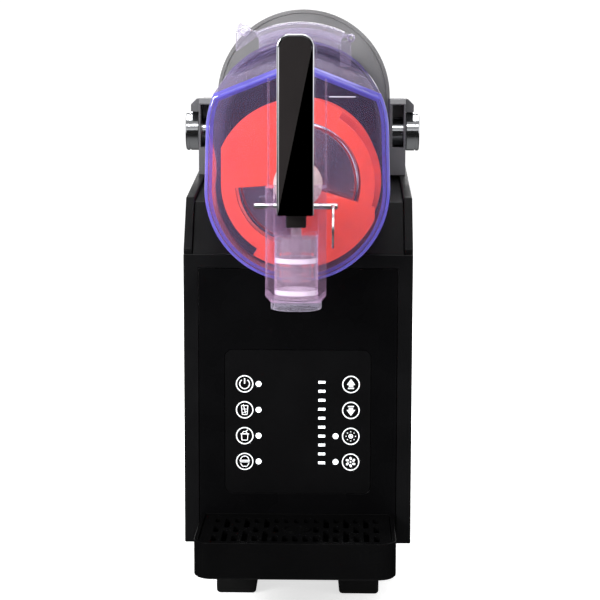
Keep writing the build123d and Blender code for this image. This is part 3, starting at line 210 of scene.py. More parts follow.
BLACK = (0.0028, 0.0028, 0.0031)
looks = {
    "case_black": solid("case_black", BLACK, 0.36, specular=0.07, grain=0.5, depth=0.02),
    "fascia_black": solid("fascia_black", (0.0016, 0.0016, 0.0018), 0.28, specular=0.03),
    "overlay_black": solid(
        "overlay_black", (0.0026, 0.0026, 0.0028), 0.18, specular=0.03, depth=0.004
    ),
    "hood_grey": solid("hood_grey", (0.12, 0.12, 0.122), 0.55, specular=0.35, grain=0.8, depth=0.04),
    "latch_black": solid("latch_black", (0.055, 0.055, 0.06), 0.42, specular=0.4, grain=0.6),
    "foot_black": solid("foot_black", (0.004, 0.004, 0.004), 0.5, specular=0.08, grain=0.4, depth=0.05),
    "bowl_clear": clear("bowl_clear", (0.95, 0.925, 0.96), (0.52, 0.44, 0.8), 0.4, milk=0.05),
    "bowl_edge": clear("bowl_edge", (0.6, 0.58, 0.95), (0.15, 0.14, 0.66), 0.85, milk=0.6, start=0.2),
    "lid_clear": clear("lid_clear", (0.96, 0.95, 0.985), (0.72, 0.67, 0.82), 0.5, milk=0.12),
    "piston_clear": clear("piston_clear", (0.98, 0.95, 0.98), (0.9, 0.78, 0.88), 0.5, milk=0.16),
    "spout_clear": clear("spout_clear", (0.97, 0.95, 0.97), (0.7, 0.46, 0.72), 0.75, milk=0.07, start=0.45),
    "auger_red": solid(
        "auger_red", (0.97, 0.075, 0.022), 0.42, specular=0.4, grain=1.2, vary=0.06, subsurface=0.25
    ),
    "nose_white": solid("nose_white", (0.66, 0.6, 0.5), 0.35, vary=0.04, subsurface=0.15),
    "seal_white": solid("seal_white", (0.75, 0.72, 0.78), 0.45, vary=0.05),
    "seal_black": solid("seal_black", (0.012, 0.012, 0.013), 0.6, specular=0.3),
    "handle_black": solid(
        "handle_black", (0.0065, 0.005, 0.005), 0.62, specular=0.12, grain=0.35, depth=0.03
    ),
    "handle_chrome": solid(
        "handle_chrome", (0.5, 0.51, 0.53), 0.12, metallic=1, grain=1.5, vary=0.03, depth=0.003, smudge=0.03
    ),
    "steel": solid(
        "steel", (0.62, 0.62, 0.63), 0.26, metallic=1, stretch=(1, 1, 0.08), vary=0.1, smudge=0.05
    ),
    "drum_steel": solid("drum_steel", (0.55, 0.53, 0.58), 0.24, metallic=1, grain=0.5, vary=0.08),
    "copper": solid("copper", (0.72, 0.32, 0.18), 0.3, metallic=1, vary=0.15),
    "bronze": solid("bronze", (0.55, 0.36, 0.16), 0.35, metallic=1),
    "compressor_black": solid("compressor_black", (0.012, 0.012, 0.013), 0.35),
    "fins_aluminium": solid("fins_aluminium", (0.7, 0.71, 0.73), 0.35, metallic=1, stretch=(0.1, 1, 1)),
    "motor_zinc": solid("motor_zinc", (0.45, 0.46, 0.47), 0.4, metallic=1, grain=1.5),
    "board_green": solid("board_green", (0.02, 0.16, 0.06), 0.4, grain=2.0, vary=0.2),
    "lens_white": solid("lens_white", (0.85, 0.86, 0.88), 0.3, vary=0.03),
    "tray_black": solid("tray_black", (0.0016, 0.0016, 0.0017), 0.22, specular=0.03, grain=0.6, depth=0.01),
    "print_white": solid("print_white", (0.86, 0.88, 0.9), 0.5, vary=0.04, depth=0.006),
}
lens = looks["lens_white"].node_tree
glow = next(n for n in lens.nodes if n.bl_idname == "ShaderNodeBsdfPrincipled")
glow.inputs["Emission Color"].default_value = (0.92, 0.96, 1.0, 1.0)
glow.inputs["Emission Strength"].default_value = 0.9

node_slots = {part["node"]: part["material_slot"] for part in frame["record"]["subparts"]}
special = {"evaporator_drum": "drum_steel"}
for name, node in nodes.items():
    key = special.get(name) or node_slots.get(name) or "case_black"
    node.data.materials.clear()
    node.data.materials.append(looks[key])


SHARP_EDGE = math.radians(32)


def soften(name, width):
    """Rounds a CAD node's edges at render time, without touching its mesh."""
    node = nodes[name]
    weld = node.modifiers.new("weld", "WELD")
    weld.merge_threshold = 1e-6
    flat = node.modifiers.new("flat", "DECIMATE")
    flat.decimate_type = "DISSOLVE"
    flat.angle_limit = math.radians(0.8)
    bevel = node.modifiers.new("bevel", "BEVEL")
    bevel.width = width * MM
    bevel.segments = 2
    bevel.limit_method = "ANGLE"
    bevel.angle_limit = SHARP_EDGE
    bevel.use_clamp_overlap = True
    normals = node.modifiers.new("normals", "WEIGHTED_NORMAL")
    normals.keep_sharp = False
    normals.weight = 90


# bevel widths in mm, by node or by the name that a left and a right node share
SOFT_EDGES = {
    "side_wall": 1.0,
    "front_frame": 0.6,
    "front_fascia": 0.5,
    "control_overlay": 0.3,
    "deck": 0.6,
    "base_plate": 0.6,
    "foot_front": 1.6,
    "foot_rear": 1.6,
    "latch_bracket": 0.7,
    "drip_tray": 0.8,
    "drip_grid": 0.4,
    "rear_hood": 0.6,
    "auger": 1.0,
    "handle_fork": 0.4,
    "piston_head": 0.6,
    "rear_panel": 0.3,
    "handle_frame": 0.9,
}
for name, width in SOFT_EDGES.items():
    for full_name in (name, f"{name}_left", f"{name}_right"):
        if full_name in nodes:
            soften(full_name, width)


# --- mesh helpers ---------------------------------------------------------------------------------
def put(name, mesh, body, look, replaces=(), smooth=35, bevel=0):
    """Object from a mesh, with its material, body, slot and rounded edges."""
    thing = bpy.data.objects.new(name, mesh)
    bpy.context.scene.collection.objects.link(thing)
    for one in [look] if isinstance(look, str) else look:
        mesh.materials.append(looks[one])
    if bevel:
        rounding = thing.modifiers.new("rounding", "BEVEL")
        rounding.width = bevel * MM
        rounding.segments = 3
        rounding.limit_method = "ANGLE"
        rounding.angle_limit = SHARP_EDGE
    if smooth:
        mesh.shade_smooth()
        mesh.set_sharp_from_angle(angle=math.radians(smooth))
    if bevel:
        shaded = thing.modifiers.new("normals", "WEIGHTED_NORMAL")
        shaded.keep_sharp = True
    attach(thing, body)
    if replaces:
        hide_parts(*replaces)
    return thing


def finish_mesh(bm, name):
    bmesh.ops.recalc_face_normals(bm, faces=bm.faces)
    mesh = bpy.data.meshes.new(name)
    bm.to_mesh(mesh)
    bm.free()
    return mesh


def loft(bm, rings, cap_first=False, cap_last=False, closed=True):
    """Skins the rings of points with quads; returns the faces ring by ring."""
    rows = [[bm.verts.new(p) for p in ring] for ring in rings]
    bands = []
    for first, second in zip(rows, rows[1:]):
        band = []
        count = len(first)
        for i in range(count if closed else count - 1):
            j = (i + 1) % count
            band.append(bm.faces.new((first[i], first[j], second[j], second[i])))
        bands.append(band)
    if cap_first:
        bm.faces.new(rows[0])
    if cap_last:
        bm.faces.new(rows[-1])
    return bands


def rounded_box(bm, lo, hi):
    """Box between two corners; its edges are rounded by the piece's bevel."""
    made = bmesh.ops.create_cube(bm, size=1)["verts"]
    size = Vector(hi) - Vector(lo)
    centre = (Vector(hi) + Vector(lo)) / 2
    matrix = Matrix.Translation(centre) @ Matrix.Diagonal((*size, 1))
    bmesh.ops.transform(bm, matrix=matrix, verts=made)
    return made


def lathe(bm, profile, origin, axis="X", steps=96):
    """Turns (along, radius) points round an axis through origin."""
    origin = Vector(origin)
    rings = []
    for along, radius in profile:
        ring = []
        for i in range(steps):
            a = 2 * math.pi * i / steps
            c, s = radius * math.cos(a), radius * math.sin(a)
            offset = {"X": (along, c, s), "Y": (c, along, s), "Z": (c, s, along)}[axis]
            ring.append(origin + Vector(offset))
        rings.append(ring)
    loft(bm, rings, cap_first=profile[0][1] > 0, cap_last=profile[-1][1] > 0)


def applied(thing):
    """Mesh of a piece with its modifiers applied."""
    depsgraph = bpy.context.evaluated_depsgraph_get()
    return bpy.data.meshes.new_from_object(thing.evaluated_get(depsgraph))


def cut(mesh, cutters):
    """The mesh with the closed cutter meshes taken away."""
    target = bpy.data.objects.new("cut_target", mesh)
    bpy.context.scene.collection.objects.link(target)
    helpers = [target]
    for index, cutter in enumerate(cutters):
        helper = bpy.data.objects.new(f"cutter_{index}", cutter)
        bpy.context.scene.collection.objects.link(helper)
        helpers.append(helper)
        step = target.modifiers.new(f"cut_{index}", "BOOLEAN")
        step.object = helper
        step.operation = "DIFFERENCE"
        step.solver = "EXACT"
    bpy.context.view_layer.update()
    result = applied(target)
    for helper in helpers:
        bpy.data.objects.remove(helper)
    return result


# --- bowl -----------------------------------------------------------------------------------------
ROOF_TOP = 423 * MM
ROOF_SLOPE = 27 / 68.5
ROOF_RISE = 13 * MM
# how far the roof drops for each unit of inset, more than one because it slopes
ROOF_DROP = 1.25
SIDE_STEPS = 10
ARC_STEPS = 14
BOTTOM_STEPS = 64
ROOF_STEPS = 14


def roof_height(y, inset):
    """Height of the gable's ridge, which rises between the front and the step."""
    share = min(1.0, max(0.0, (y - BOWL_Y) / (STEP_Y - BOWL_Y)))
    return ROOF_TOP + ROOF_RISE * share - ROOF_DROP * inset


def bowl_ring(y, inset, gabled):
    """Points round the bowl at depth y, shrunk by inset, with a gabled or arched top."""
    trough = TROUGH_R - inset
    top = TOP_R - inset
    roof = roof_height(min(y, STEP_Y), inset)
    # where the sloping roof meets the round side, found by halving
    low, high = 0.3 * top, top
    for _ in range(40):
        x = (low + high) / 2
        if roof - ROOF_SLOPE * x > TOP_Z + math.sqrt(max(0.0, top * top - x * x)):
            high = x
        else:
            low = x
    corner_x = low
    corner = math.acos(corner_x / top)
    points = []
    for i in range(2 * ROOF_STEPS):
        share = i / ROOF_STEPS
        if gabled:
            x = corner_x * (1 - share)
            points.append((x, roof - ROOF_SLOPE * abs(x)))
        else:
            angle = corner + (math.pi / 2 - corner) * share
            points.append((top * math.cos(angle), TOP_Z + top * math.sin(angle)))
    left = []
    for i in range(ARC_STEPS):
        angle = corner * (1 - i / ARC_STEPS)
        left.append((-top * math.cos(angle), TOP_Z + top * math.sin(angle)))
    for i in range(SIDE_STEPS):
        share = i / SIDE_STEPS
        left.append((-top - (trough - top) * share, TOP_Z + (TROUGH_Z - TOP_Z) * share))
    points += left
    for i in range(BOTTOM_STEPS):
        angle = math.pi + math.pi * i / BOTTOM_STEPS
        points.append((trough * math.cos(angle), TROUGH_Z + trough * math.sin(angle)))
    points += [(trough, TROUGH_Z)] + [(-x, z) for x, z in reversed(left[1:])]
    return [Vector((x, y, z)) for x, z in points]


BAND = 2.6 * MM
EDGE_DEPTH = 3.2 * MM
ROUND = 2.2 * MM


def bowl_skin(inset, rear_y):
    """Rings of one skin of the bowl from front to rear, and how many bands are edge."""
    front = BOWL_Y + inset
    rings = [bowl_ring(front, inset + BAND, True)]
    if inset:
        rings.append(bowl_ring(front, inset, True))
    else:
        for turn in (0, 30, 60, 90):
            angle = math.radians(turn)
            drop = ROUND * (1 - math.sin(angle))
            rings.append(bowl_ring(front + ROUND * (1 - math.cos(angle)), drop, True))
        rings.append(bowl_ring(front + EDGE_DEPTH, 0, True))
    edge_bands = len(rings) - 1
    step = STEP_Y + inset
    rings.append(bowl_ring(step, inset, True))
    rings.append(bowl_ring(step, inset, False))
    rings.append(bowl_ring(rear_y, inset, False))
    return rings, edge_bands


REAR_Y = bowl_hi.y
outer_rings, outer_edge = bowl_skin(0, REAR_Y)
inner_rings, inner_edge = bowl_skin(WALL, REAR_Y)
bm = bmesh.new()
bands = loft(bm, outer_rings + inner_rings[::-1], cap_first=True, cap_last=True)
for band in bands[:outer_edge] + bands[-inner_edge:]:
    for face in band:
        face.material_index = 1
shell_mesh = finish_mesh(bm, "bowl_shell")

NECK_R = bowl_hi.z - TOP_Z
NECK_X = 33 * MM
NECK_WALL = 2.5 * MM
NECK_Y0 = CASE_Y + 55 * MM
NECK_Y1 = CASE_Y + 125 * MM


def arc_points(radius, half_width, count=24):
    """Arc about the bowl's upper axis, from x = -half_width to +half_width."""
    reach = math.asin(half_width / radius)
    angles = [-reach + 2 * reach * i / (count - 1) for i in range(count)]
    return [(radius * math.sin(a), TOP_Z + radius * math.cos(a)) for a in angles]


def strip_block(bm, inner_r, outer_r, half_width, y0, y1):
    """Closed curved block: a strip of a ring over the bowl's arch."""
    outer = arc_points(outer_r, half_width)
    inner = [(x, TOP_Z + math.sqrt(inner_r**2 - x * x)) for x, _ in reversed(outer)]
    loop = outer + inner
    rings = [[Vector((x, y, z)) for x, z in loop] for y in (y0, y1)]
    bands = loft(bm, rings)
    half = len(outer)
    for row, flip in ((0, False), (1, True)):
        verts = [face.verts for face in bands[0]]
        side = [v[0 if row == 0 else 3] for v in verts]
        for i in range(half - 1):
            quad = (side[i], side[i + 1], side[2 * half - 2 - i], side[2 * half - 1 - i])
            bm.faces.new(quad if flip else tuple(reversed(quad)))


def strip_mesh(name, *args):
    bm = bmesh.new()
    strip_block(bm, *args)
    return finish_mesh(bm, name)


def box_mesh(name, lo, hi):
    bm = bmesh.new()
    rounded_box(bm, lo, hi)
    return finish_mesh(bm, name)


def rod_mesh(name, radius, start, end, steps=64):
    bm = bmesh.new()
    start, end = Vector(start), Vector(end)
    axis = "XYZ"[max(range(3), key=lambda i: abs((end - start)[i]))]
    length = (end - start)["XYZ".index(axis)]
    lathe(bm, [(0, radius), (length, radius)], start, axis, steps)
    return finish_mesh(bm, name)


def neck_opening(name):
    """Cutter for the filling hole, a wall's thickness inside the neck."""
    return strip_mesh(
        name,
        TOP_R - 12 * MM,
        NECK_R + 2 * MM,
        NECK_X - NECK_WALL,
        NECK_Y0 + NECK_WALL,
        NECK_Y1 - NECK_WALL,
    )


# slush's way from the bowl into the tap
WAY_X = 13 * MM
WAY_Z0 = 261 * MM
WAY_Z1 = 280 * MM
passage = box_mesh(
    "passage",
    (-WAY_X, BOWL_Y - 1 * MM, WAY_Z0),
    (WAY_X, BOWL_Y + WALL + 1 * MM, WAY_Z1),
)
mouth = neck_opening("mouth")
put(
    "bowl_shell",
    cut(shell_mesh, [passage, mouth]),
    "bowl",
    ["bowl_clear", "bowl_edge"],
    replaces=["bowl"],
)

neck_mesh = cut(
    strip_mesh("neck", TOP_R - 0.4 * MM, NECK_R, NECK_X, NECK_Y0, NECK_Y1),
    [neck_opening("neck_bore")],
)
put("bowl_neck", neck_mesh, "bowl", "lid_clear", bevel=0.5)

# dark plate on the bulkhead, where the bowl's open end seals
PLATE_Y = gasket_lo.y + 3.7 * MM
PLATE_T = 0.3 * MM
PLATE_INSET = 5 * MM
bm = bmesh.new()
outline = bowl_ring(PLATE_Y, PLATE_INSET, False)
plate = [[point + Vector((0, back, 0)) for point in outline] for back in (0, PLATE_T)]
loft(bm, plate, cap_first=True, cap_last=True)
put("bulkhead_plate", finish_mesh(bm, "bulkhead_plate"), "root", "fascia_black")

# rear flange, a raised lip round the open end
bm = bmesh.new()
# how far the lip stands out and how far it is from the rear end, in mm
lip = [(0.0, 0.0), (2.0, 0.6), (2.0, 4.0), (0.0, 4.0)]
lip_rings = [bowl_ring(REAR_Y - drop * MM, -grow * MM, False) for grow, drop in reversed(lip)]
loft(bm, lip_rings)
put("bowl_flange", finish_mesh(bm, "bowl_flange"), "bowl", "bowl_edge")

# guide ribs up the front face, in line with the spout's sides
SPOUT_HALF = 22.5 * MM
SPOUT_Z0 = 246 * MM
SPOUT_Z1 = 331 * MM
RIB_W = 1.5 * MM
RIB_Z1 = 411 * MM
bm = bmesh.new()
for side in (-1, 1):
    x0, x1 = sorted((side * SPOUT_HALF, side * (SPOUT_HALF - RIB_W)))
    rounded_box(bm, (x0, BOWL_Y - 1.2 * MM, SPOUT_Z1), (x1, BOWL_Y + 0.4 * MM, RIB_Z1))
put("bowl_ribs", finish_mesh(bm, "bowl_ribs"), "bowl", "spout_clear", bevel=0.35)

# fill mark, a plain raised line
MARK_X0 = 24 * MM
MARK_X1 = 44 * MM
MARK_Z = 397 * MM
MARK_H = 0.6 * MM
bm = bmesh.new()
rounded_box(
    bm, (MARK_X0, BOWL_Y - 0.25 * MM, MARK_Z), (MARK_X1, BOWL_Y + 0.1 * MM, MARK_Z + MARK_H)
)
put("bowl_fill_mark", finish_mesh(bm, "bowl_fill_mark"), "bowl", "seal_white", bevel=0.1)

# --- spout ----------------------------------------------------------------------------------------
SPOUT_Y0 = bowl_lo.y
BORE_R = piston_hi.x + 0.3 * MM
SPOUT_CHAMFER = 5 * MM
SPOUT_ROUND = 2 * MM
CLEVIS_Z0 = 296 * MM
PIN_BORE_R = 2.3 * MM
TINY = 1e-6


def span(edge, axis):
    """How far an edge reaches along an axis."""
    return abs(edge.verts[0].co[axis] - edge.verts[1].co[axis])


bm = bmesh.new()
rounded_box(bm, (-SPOUT_HALF, SPOUT_Y0, SPOUT_Z0), (SPOUT_HALF, BOWL_Y + 0.2 * MM, SPOUT_Z1))
low_edges = [
    edge
    for edge in bm.edges
    if all(abs(vert.co.z - SPOUT_Z0) < TINY for vert in edge.verts) and span(edge, 0) < TINY
]
bmesh.ops.bevel(bm, geom=low_edges, offset=SPOUT_CHAMFER, segments=1, affect="EDGES")
upright = [edge for edge in bm.edges if span(edge, 2) > (SPOUT_Z1 - SPOUT_Z0) / 2]
bmesh.ops.bevel(bm, geom=upright, offset=SPOUT_ROUND, segments=4, affect="EDGES")
spout_mesh = finish_mesh(bm, "spout_block")
spout_mesh = cut(
    spout_mesh,
    [
        rod_mesh("bore", BORE_R, (0, PISTON_Y, 240 * MM), (0, PISTON_Y, 335 * MM), 96),
        box_mesh(
            "clevis",
            (-BORE_R, SPOUT_Y0 - 2 * MM, CLEVIS_Z0),
            (BORE_R, PISTON_Y + BORE_R, 335 * MM),
        ),
        box_mesh("way_in", (-WAY_X, PISTON_Y, WAY_Z0), (WAY_X, BOWL_Y + 2 * MM, WAY_Z1)),
        rod_mesh("pin_bore", PIN_BORE_R, (-40 * MM, PIN_Y, PIN_Z), (40 * MM, PIN_Y, PIN_Z)),
    ],
)
put("bowl_spout", spout_mesh, "bowl", "spout_clear", smooth=30)

# ring round the tap's lower end
NOZZLE_R = BORE_R + 2.7 * MM
NOZZLE_H = 7.2 * MM
bm = bmesh.new()
tube_profile = [
    (0, BORE_R + 0.1 * MM),
    (0, NOZZLE_R - 0.5 * MM),
    (0.6 * MM, NOZZLE_R),
    (NOZZLE_H, NOZZLE_R),
    (NOZZLE_H, BORE_R + 0.1 * MM),
]
rings = []
for along, radius in tube_profile + tube_profile[:1]:
    ring = []
    for i in range(96):
        a = 2 * math.pi * i / 96
        ring.append(
            Vector((radius * math.cos(a), PISTON_Y + radius * math.sin(a), bowl_lo.z + along))
        )
    rings.append(ring)
loft(bm, rings)
bmesh.ops.remove_doubles(bm, verts=bm.verts, dist=1e-7)
put("bowl_nozzle", finish_mesh(bm, "bowl_nozzle"), "bowl", "lid_clear")

# --- lid ------------------------------------------------------------------------------------------
LID_R = lid_hi.z - TOP_Z
LID_X = 36 * MM
LID_Y0, LID_Y1 = lid_lo.y, lid_hi.y
SKIRT_R = 74.5 * MM
SKIRT_T = 2 * MM
LID_UNDER_R = 79.8 * MM
LID_ROUND = 1.6 * MM
LID_ROUND_MID = 0.5 * MM
LID_STEPS = 40
profile = [
    (SKIRT_R, LID_Y0),
    (LID_R - LID_ROUND, LID_Y0),
    (LID_R - LID_ROUND_MID, LID_Y0 + LID_ROUND_MID),
    (LID_R, LID_Y0 + LID_ROUND),
    (LID_R, LID_Y1 - LID_ROUND),
    (LID_R - LID_ROUND_MID, LID_Y1 - LID_ROUND_MID),
    (LID_R - LID_ROUND, LID_Y1),
    (SKIRT_R, LID_Y1),
    (SKIRT_R, LID_Y1 - SKIRT_T),
    (LID_UNDER_R, LID_Y1 - SKIRT_T),
    (LID_UNDER_R, LID_Y0 + SKIRT_T),
    (SKIRT_R, LID_Y0 + SKIRT_T),
]
reach = math.asin(LID_X / LID_R)
rings = []
for i in range(LID_STEPS):
    angle = -reach + 2 * reach * i / (LID_STEPS - 1)
    side, up = math.sin(angle), math.cos(angle)
    rings.append([Vector((r * side, y, TOP_Z + r * up)) for r, y in profile])
bm = bmesh.new()
loft(bm, rings, cap_first=True, cap_last=True)
put("lid_cover", finish_mesh(bm, "lid_cover"), "lid", "lid_clear", replaces=["filler_lid"])

# finger tab on the lid's left edge, its outline in mm seen from the front
TAB_Y0 = NECK_Y0 + 12 * MM
TAB_L = 14 * MM
bm = bmesh.new()
tab = [(-52.3, 432), (-52.3, 448), (-46, 451), (-37, 449), (-34.5, 447.5), (-34.5, 444.5)]
rings = [[Vector((x * MM, y, z * MM)) for x, z in tab] for y in (TAB_Y0, TAB_Y0 + TAB_L)]
loft(bm, rings, cap_first=True, cap_last=True)
put("lid_tab", finish_mesh(bm, "lid_tab"), "lid", "lid_clear", bevel=1.2)

# loop on the tab
LOOP_X = -46 * MM
LOOP_Z = 450 * MM
LOOP_R = 4.2 * MM
LOOP_T = 1.25 * MM
LOOP_HALF = 6.4 * MM
LOOP_STEPS = 48
LOOP_SIDES = 16
bm = bmesh.new()
rings = []
for i in range(LOOP_STEPS + 1):
    a = 2 * math.pi * i / LOOP_STEPS
    ring = []
    for j in range(LOOP_SIDES):
        b = 2 * math.pi * j / LOOP_SIDES
        r = LOOP_R + LOOP_T * math.cos(b)
        y = TAB_Y0 + TAB_L / 2 + LOOP_HALF * math.sin(b)
        ring.append(Vector((LOOP_X + r * math.sin(a), y, LOOP_Z + r * math.cos(a))))
    rings.append(ring)
loft(bm, rings)
bmesh.ops.remove_doubles(bm, verts=bm.verts, dist=1e-7)
put("lid_loop", finish_mesh(bm, "lid_loop"), "lid", "lid_clear")

hinge_lo, hinge_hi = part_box("lid_hinge_pin")
HINGE_X = (hinge_lo.x + hinge_hi.x) / 2
HINGE_Z = (hinge_lo.z + hinge_hi.z) / 2
HINGE_HOLE_R = 1.6 * MM
KNUCKLE_R = 3.2 * MM
KNUCKLE_L = 12 * MM
KNUCKLE_EDGE = 0.5 * MM
KNUCKLE_STEPS = 48
knuckle = [
    (0, HINGE_HOLE_R),
    (0, KNUCKLE_R - KNUCKLE_EDGE),
    (KNUCKLE_EDGE, KNUCKLE_R),
    (KNUCKLE_L - KNUCKLE_EDGE, KNUCKLE_R),
    (KNUCKLE_L, KNUCKLE_R - KNUCKLE_EDGE),
    (KNUCKLE_L, HINGE_HOLE_R),
]
bm = bmesh.new()
for y in (NECK_Y0 + 8 * MM, NECK_Y1 - 20 * MM):
    lathe(bm, knuckle, (HINGE_X, y, HINGE_Z), "Y", KNUCKLE_STEPS)
    rounded_box(
        bm,
        (NECK_X + 0.5 * MM, y, HINGE_Z + 0.2 * MM),
        (HINGE_X, y + KNUCKLE_L, HINGE_Z + 3.1 * MM),
    )
put("lid_knuckles", finish_mesh(bm, "lid_knuckles"), "lid", "lid_clear", bevel=0.3)

# post between the knuckles, part of the bowl
POST_HALF = 12 * MM
POST_Z0 = 420 * MM
post = [
    (0, HINGE_HOLE_R),
    (0, KNUCKLE_R),
    (2 * POST_HALF, KNUCKLE_R),
    (2 * POST_HALF, HINGE_HOLE_R),
]
bm = bmesh.new()
mid_y = (NECK_Y0 + NECK_Y1) / 2
rounded_box(
    bm,
    (NECK_X - 1 * MM, mid_y - POST_HALF, POST_Z0),
    (HINGE_X, mid_y + POST_HALF, HINGE_Z - 2 * MM),
)
lathe(bm, post, (HINGE_X, mid_y - POST_HALF, HINGE_Z), "Y", KNUCKLE_STEPS)
put("bowl_hinge_post", finish_mesh(bm, "bowl_hinge_post"), "bowl", "lid_clear", bevel=0.4)

# --- split ring, two turns of wire ----------------------------------------------------------------
ring_lo, ring_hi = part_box("split_ring")
RING_X = (ring_lo.x + ring_hi.x) / 2
RING_WIRE = (ring_hi.x - ring_lo.x) / 4
RING_R = (ring_hi.z - ring_lo.z) / 2 - RING_WIRE
curve = bpy.data.curves.new("ring_wire", "CURVE")
curve.dimensions = "3D"
curve.bevel_depth = RING_WIRE
curve.bevel_resolution = 6
spline = curve.splines.new("POLY")
turns, per_turn = 2.0, 72
count = int(turns * per_turn)
spline.points.add(count)
for i in range(count + 1):
    a = 2 * math.pi * i / per_turn
    x = RING_X + RING_WIRE * (2 * i / count - 1)
    y = PIN_Y + RING_R * math.sin(a)
    z = (ring_lo.z + ring_hi.z) / 2 + RING_R * math.cos(a)
    spline.points[i].co = (x, y, z, 1)
curve.materials.append(looks["steel"])
ring = bpy.data.objects.new("ring_wire", curve)
bpy.context.scene.collection.objects.link(ring)
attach(ring, "pin")
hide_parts("split_ring")

# --- panel print ----------------------------------------------------------------------------------
PRINT_Y = overlay_lo.y - 0.02 * MM
PANEL_Z = (overlay_lo.z + overlay_hi.z) / 2
# the print is drawn in mm
KEY_X = 42
KEY_PITCH = 20.8
KEY_TOP = 30.4
KEY_ROWS = [PANEL_Z / MM + KEY_TOP - KEY_PITCH * row for row in range(4)]
KEY_RING = (6.1, 6.9)
INK_T = 0.04 * MM


def flat_face(bm, points):
    """Printed patch through (x, z) points in mm."""
    bm.faces.new([bm.verts.new((x * MM, PRINT_Y, z * MM)) for x, z in points])


def flat_ring(bm, cx, cz, inner, outer, start=0, sweep=360, steps=64):
    """Printed arc or ring as quads."""
    pairs = []
    for i in range(steps + 1):
        a = math.radians(start + sweep * i / steps)
        pairs.append([(cx + r * math.cos(a), cz + r * math.sin(a)) for r in (inner, outer)])
    for first, second in zip(pairs, pairs[1:]):
        flat_face(bm, (first[0], first[1], second[1], second[0]))


def flat_disc(bm, cx, cz, radius, steps=24):
    angles = [2 * math.pi * i / steps for i in range(steps)]
    flat_face(bm, [(cx + radius * math.cos(a), cz + radius * math.sin(a)) for a in angles])


def stroke(bm, points, width=0.55):
    """Printed line through the points, one quad per run."""
    for (x0, z0), (x1, z1) in zip(points, points[1:]):
        length = math.hypot(x1 - x0, z1 - z0)
        dx, dz = (x1 - x0) / length * width / 2, (z1 - z0) / length * width / 2
        x0, z0, x1, z1 = x0 - dx, z0 - dz, x1 + dx, z1 + dz
        flat_face(bm, ((x0 - dz, z0 + dx), (x0 + dz, z0 - dx), (x1 + dz, z1 - dx), (x1 - dz, z1 + dx)))


def icon_power(bm, x, z):
    flat_ring(bm, x, z, 3.5, 4.2, 125, 290)
    stroke(bm, [(x, z + 0.6), (x, z + 4.0)], 0.9)


def icon_glass(bm, x, z):
    glass = [(-2.6, 3.4), (-1.9, -3.8), (1.9, -3.8), (2.6, 3.4), (-2.6, 3.4)]
    stroke(bm, [(x + dx, z + dz) for dx, dz in glass])
    stroke(bm, [(x - 1.0, z + 4.2), (x + 0.6, z - 2.6)])
    stroke(bm, [(x - 2.2, z + 0.6), (x + 2.2, z + 0.6)], 0.4)
    stroke(bm, [(x - 1.6, z - 2.6), (x + 1.6, z - 1.2)], 0.4)


def icon_cup(bm, x, z):
    stroke(bm, [(x - 2.5, z + 1.2), (x - 2.2, z - 3.6), (x + 2.2, z - 3.6), (x + 2.5, z + 1.2)])
    stroke(bm, [(x - 3.0, z + 1.4), (x + 3.0, z + 1.4)], 0.7)
    flat_ring(bm, x, z + 1.4, 1.7, 2.2, 0, 180, 24)
    stroke(bm, [(x + 0.6, z + 3.2), (x + 2.3, z + 4.6)])


def icon_shake(bm, x, z):
    flat_ring(bm, x, z + 1.0, 3.0, 3.6, 10, 160, 32)
    stroke(bm, [(x - 3.8, z + 0.9), (x + 3.8, z + 0.9)], 0.6)
    stroke(bm, [(x - 3.6, z - 0.4), (x + 3.6, z - 0.4)], 0.6)
    stroke(bm, [(x - 3.2, z - 1.7), (x - 1.8, z - 4.0), (x + 1.8, z - 4.0), (x + 3.2, z - 1.7)], 0.6)


def icon_arrow(bm, x, z, way):
    flat_face(bm, ((x - 3.4, z - 0.4 * way), (x + 3.4, z - 0.4 * way), (x, z + 4.3 * way)))
    stem = ((-1.7, -0.3), (-1.7, -2.0), (1.7, -2.0), (1.7, -0.3))
    flat_face(bm, [(x + dx, z + dz * way) for dx, dz in stem])
    stroke(bm, [(x - 1.9, z - 3.1 * way), (x + 1.9, z - 3.1 * way)], 0.9)


def icon_light(bm, x, z):
    flat_ring(bm, x, z, 1.3, 1.8)
    flat_disc(bm, x, z, 0.8)
    for i in range(8):
        a = math.pi * i / 4
        flat_disc(bm, x + 3.7 * math.cos(a), z + 3.7 * math.sin(a), 0.42)


def icon_fan(bm, x, z):
    for i in range(6):
        a = math.pi * (i / 3 + 0.5)
        cx, cz = x + 2.9 * math.cos(a), z + 2.9 * math.sin(a)
        c, s = math.cos(a + 0.4), math.sin(a + 0.4)
        petal = []
        for j in range(20):
            b = 2 * math.pi * j / 20
            u, v = 1.35 * math.cos(b), 0.95 * math.sin(b)
            petal.append((cx + u * c - v * s, cz + u * s + v * c))
        flat_face(bm, petal)
    flat_disc(bm, x, z, 0.7)


ICONS = [
    ("switch", -KEY_X, 0, icon_power),
    ("juice", -KEY_X, 1, icon_glass),
    ("slush", -KEY_X, 2, icon_cup),
    ("shake", -KEY_X, 3, icon_shake),
    ("firmer", KEY_X, 0, lambda bm, x, z: icon_arrow(bm, x, z, 1)),
    ("softer", KEY_X, 1, lambda bm, x, z: icon_arrow(bm, x, z, -1)),
    ("lamp", KEY_X, 2, icon_light),
    ("rinse", KEY_X, 3, icon_fan),
]
for name, x, row, draw in ICONS:
    bm = bmesh.new()
    z = KEY_ROWS[row]
    flat_ring(bm, x, z, *KEY_RING)
    draw(bm, x, z)
    title = f"print_{name}"
    printed = put(title, finish_mesh(bm, title), "root", "print_white", smooth=0)
    ink = printed.modifiers.new("ink", "SOLIDIFY")
    ink.thickness = INK_T
    ink.offset = 0

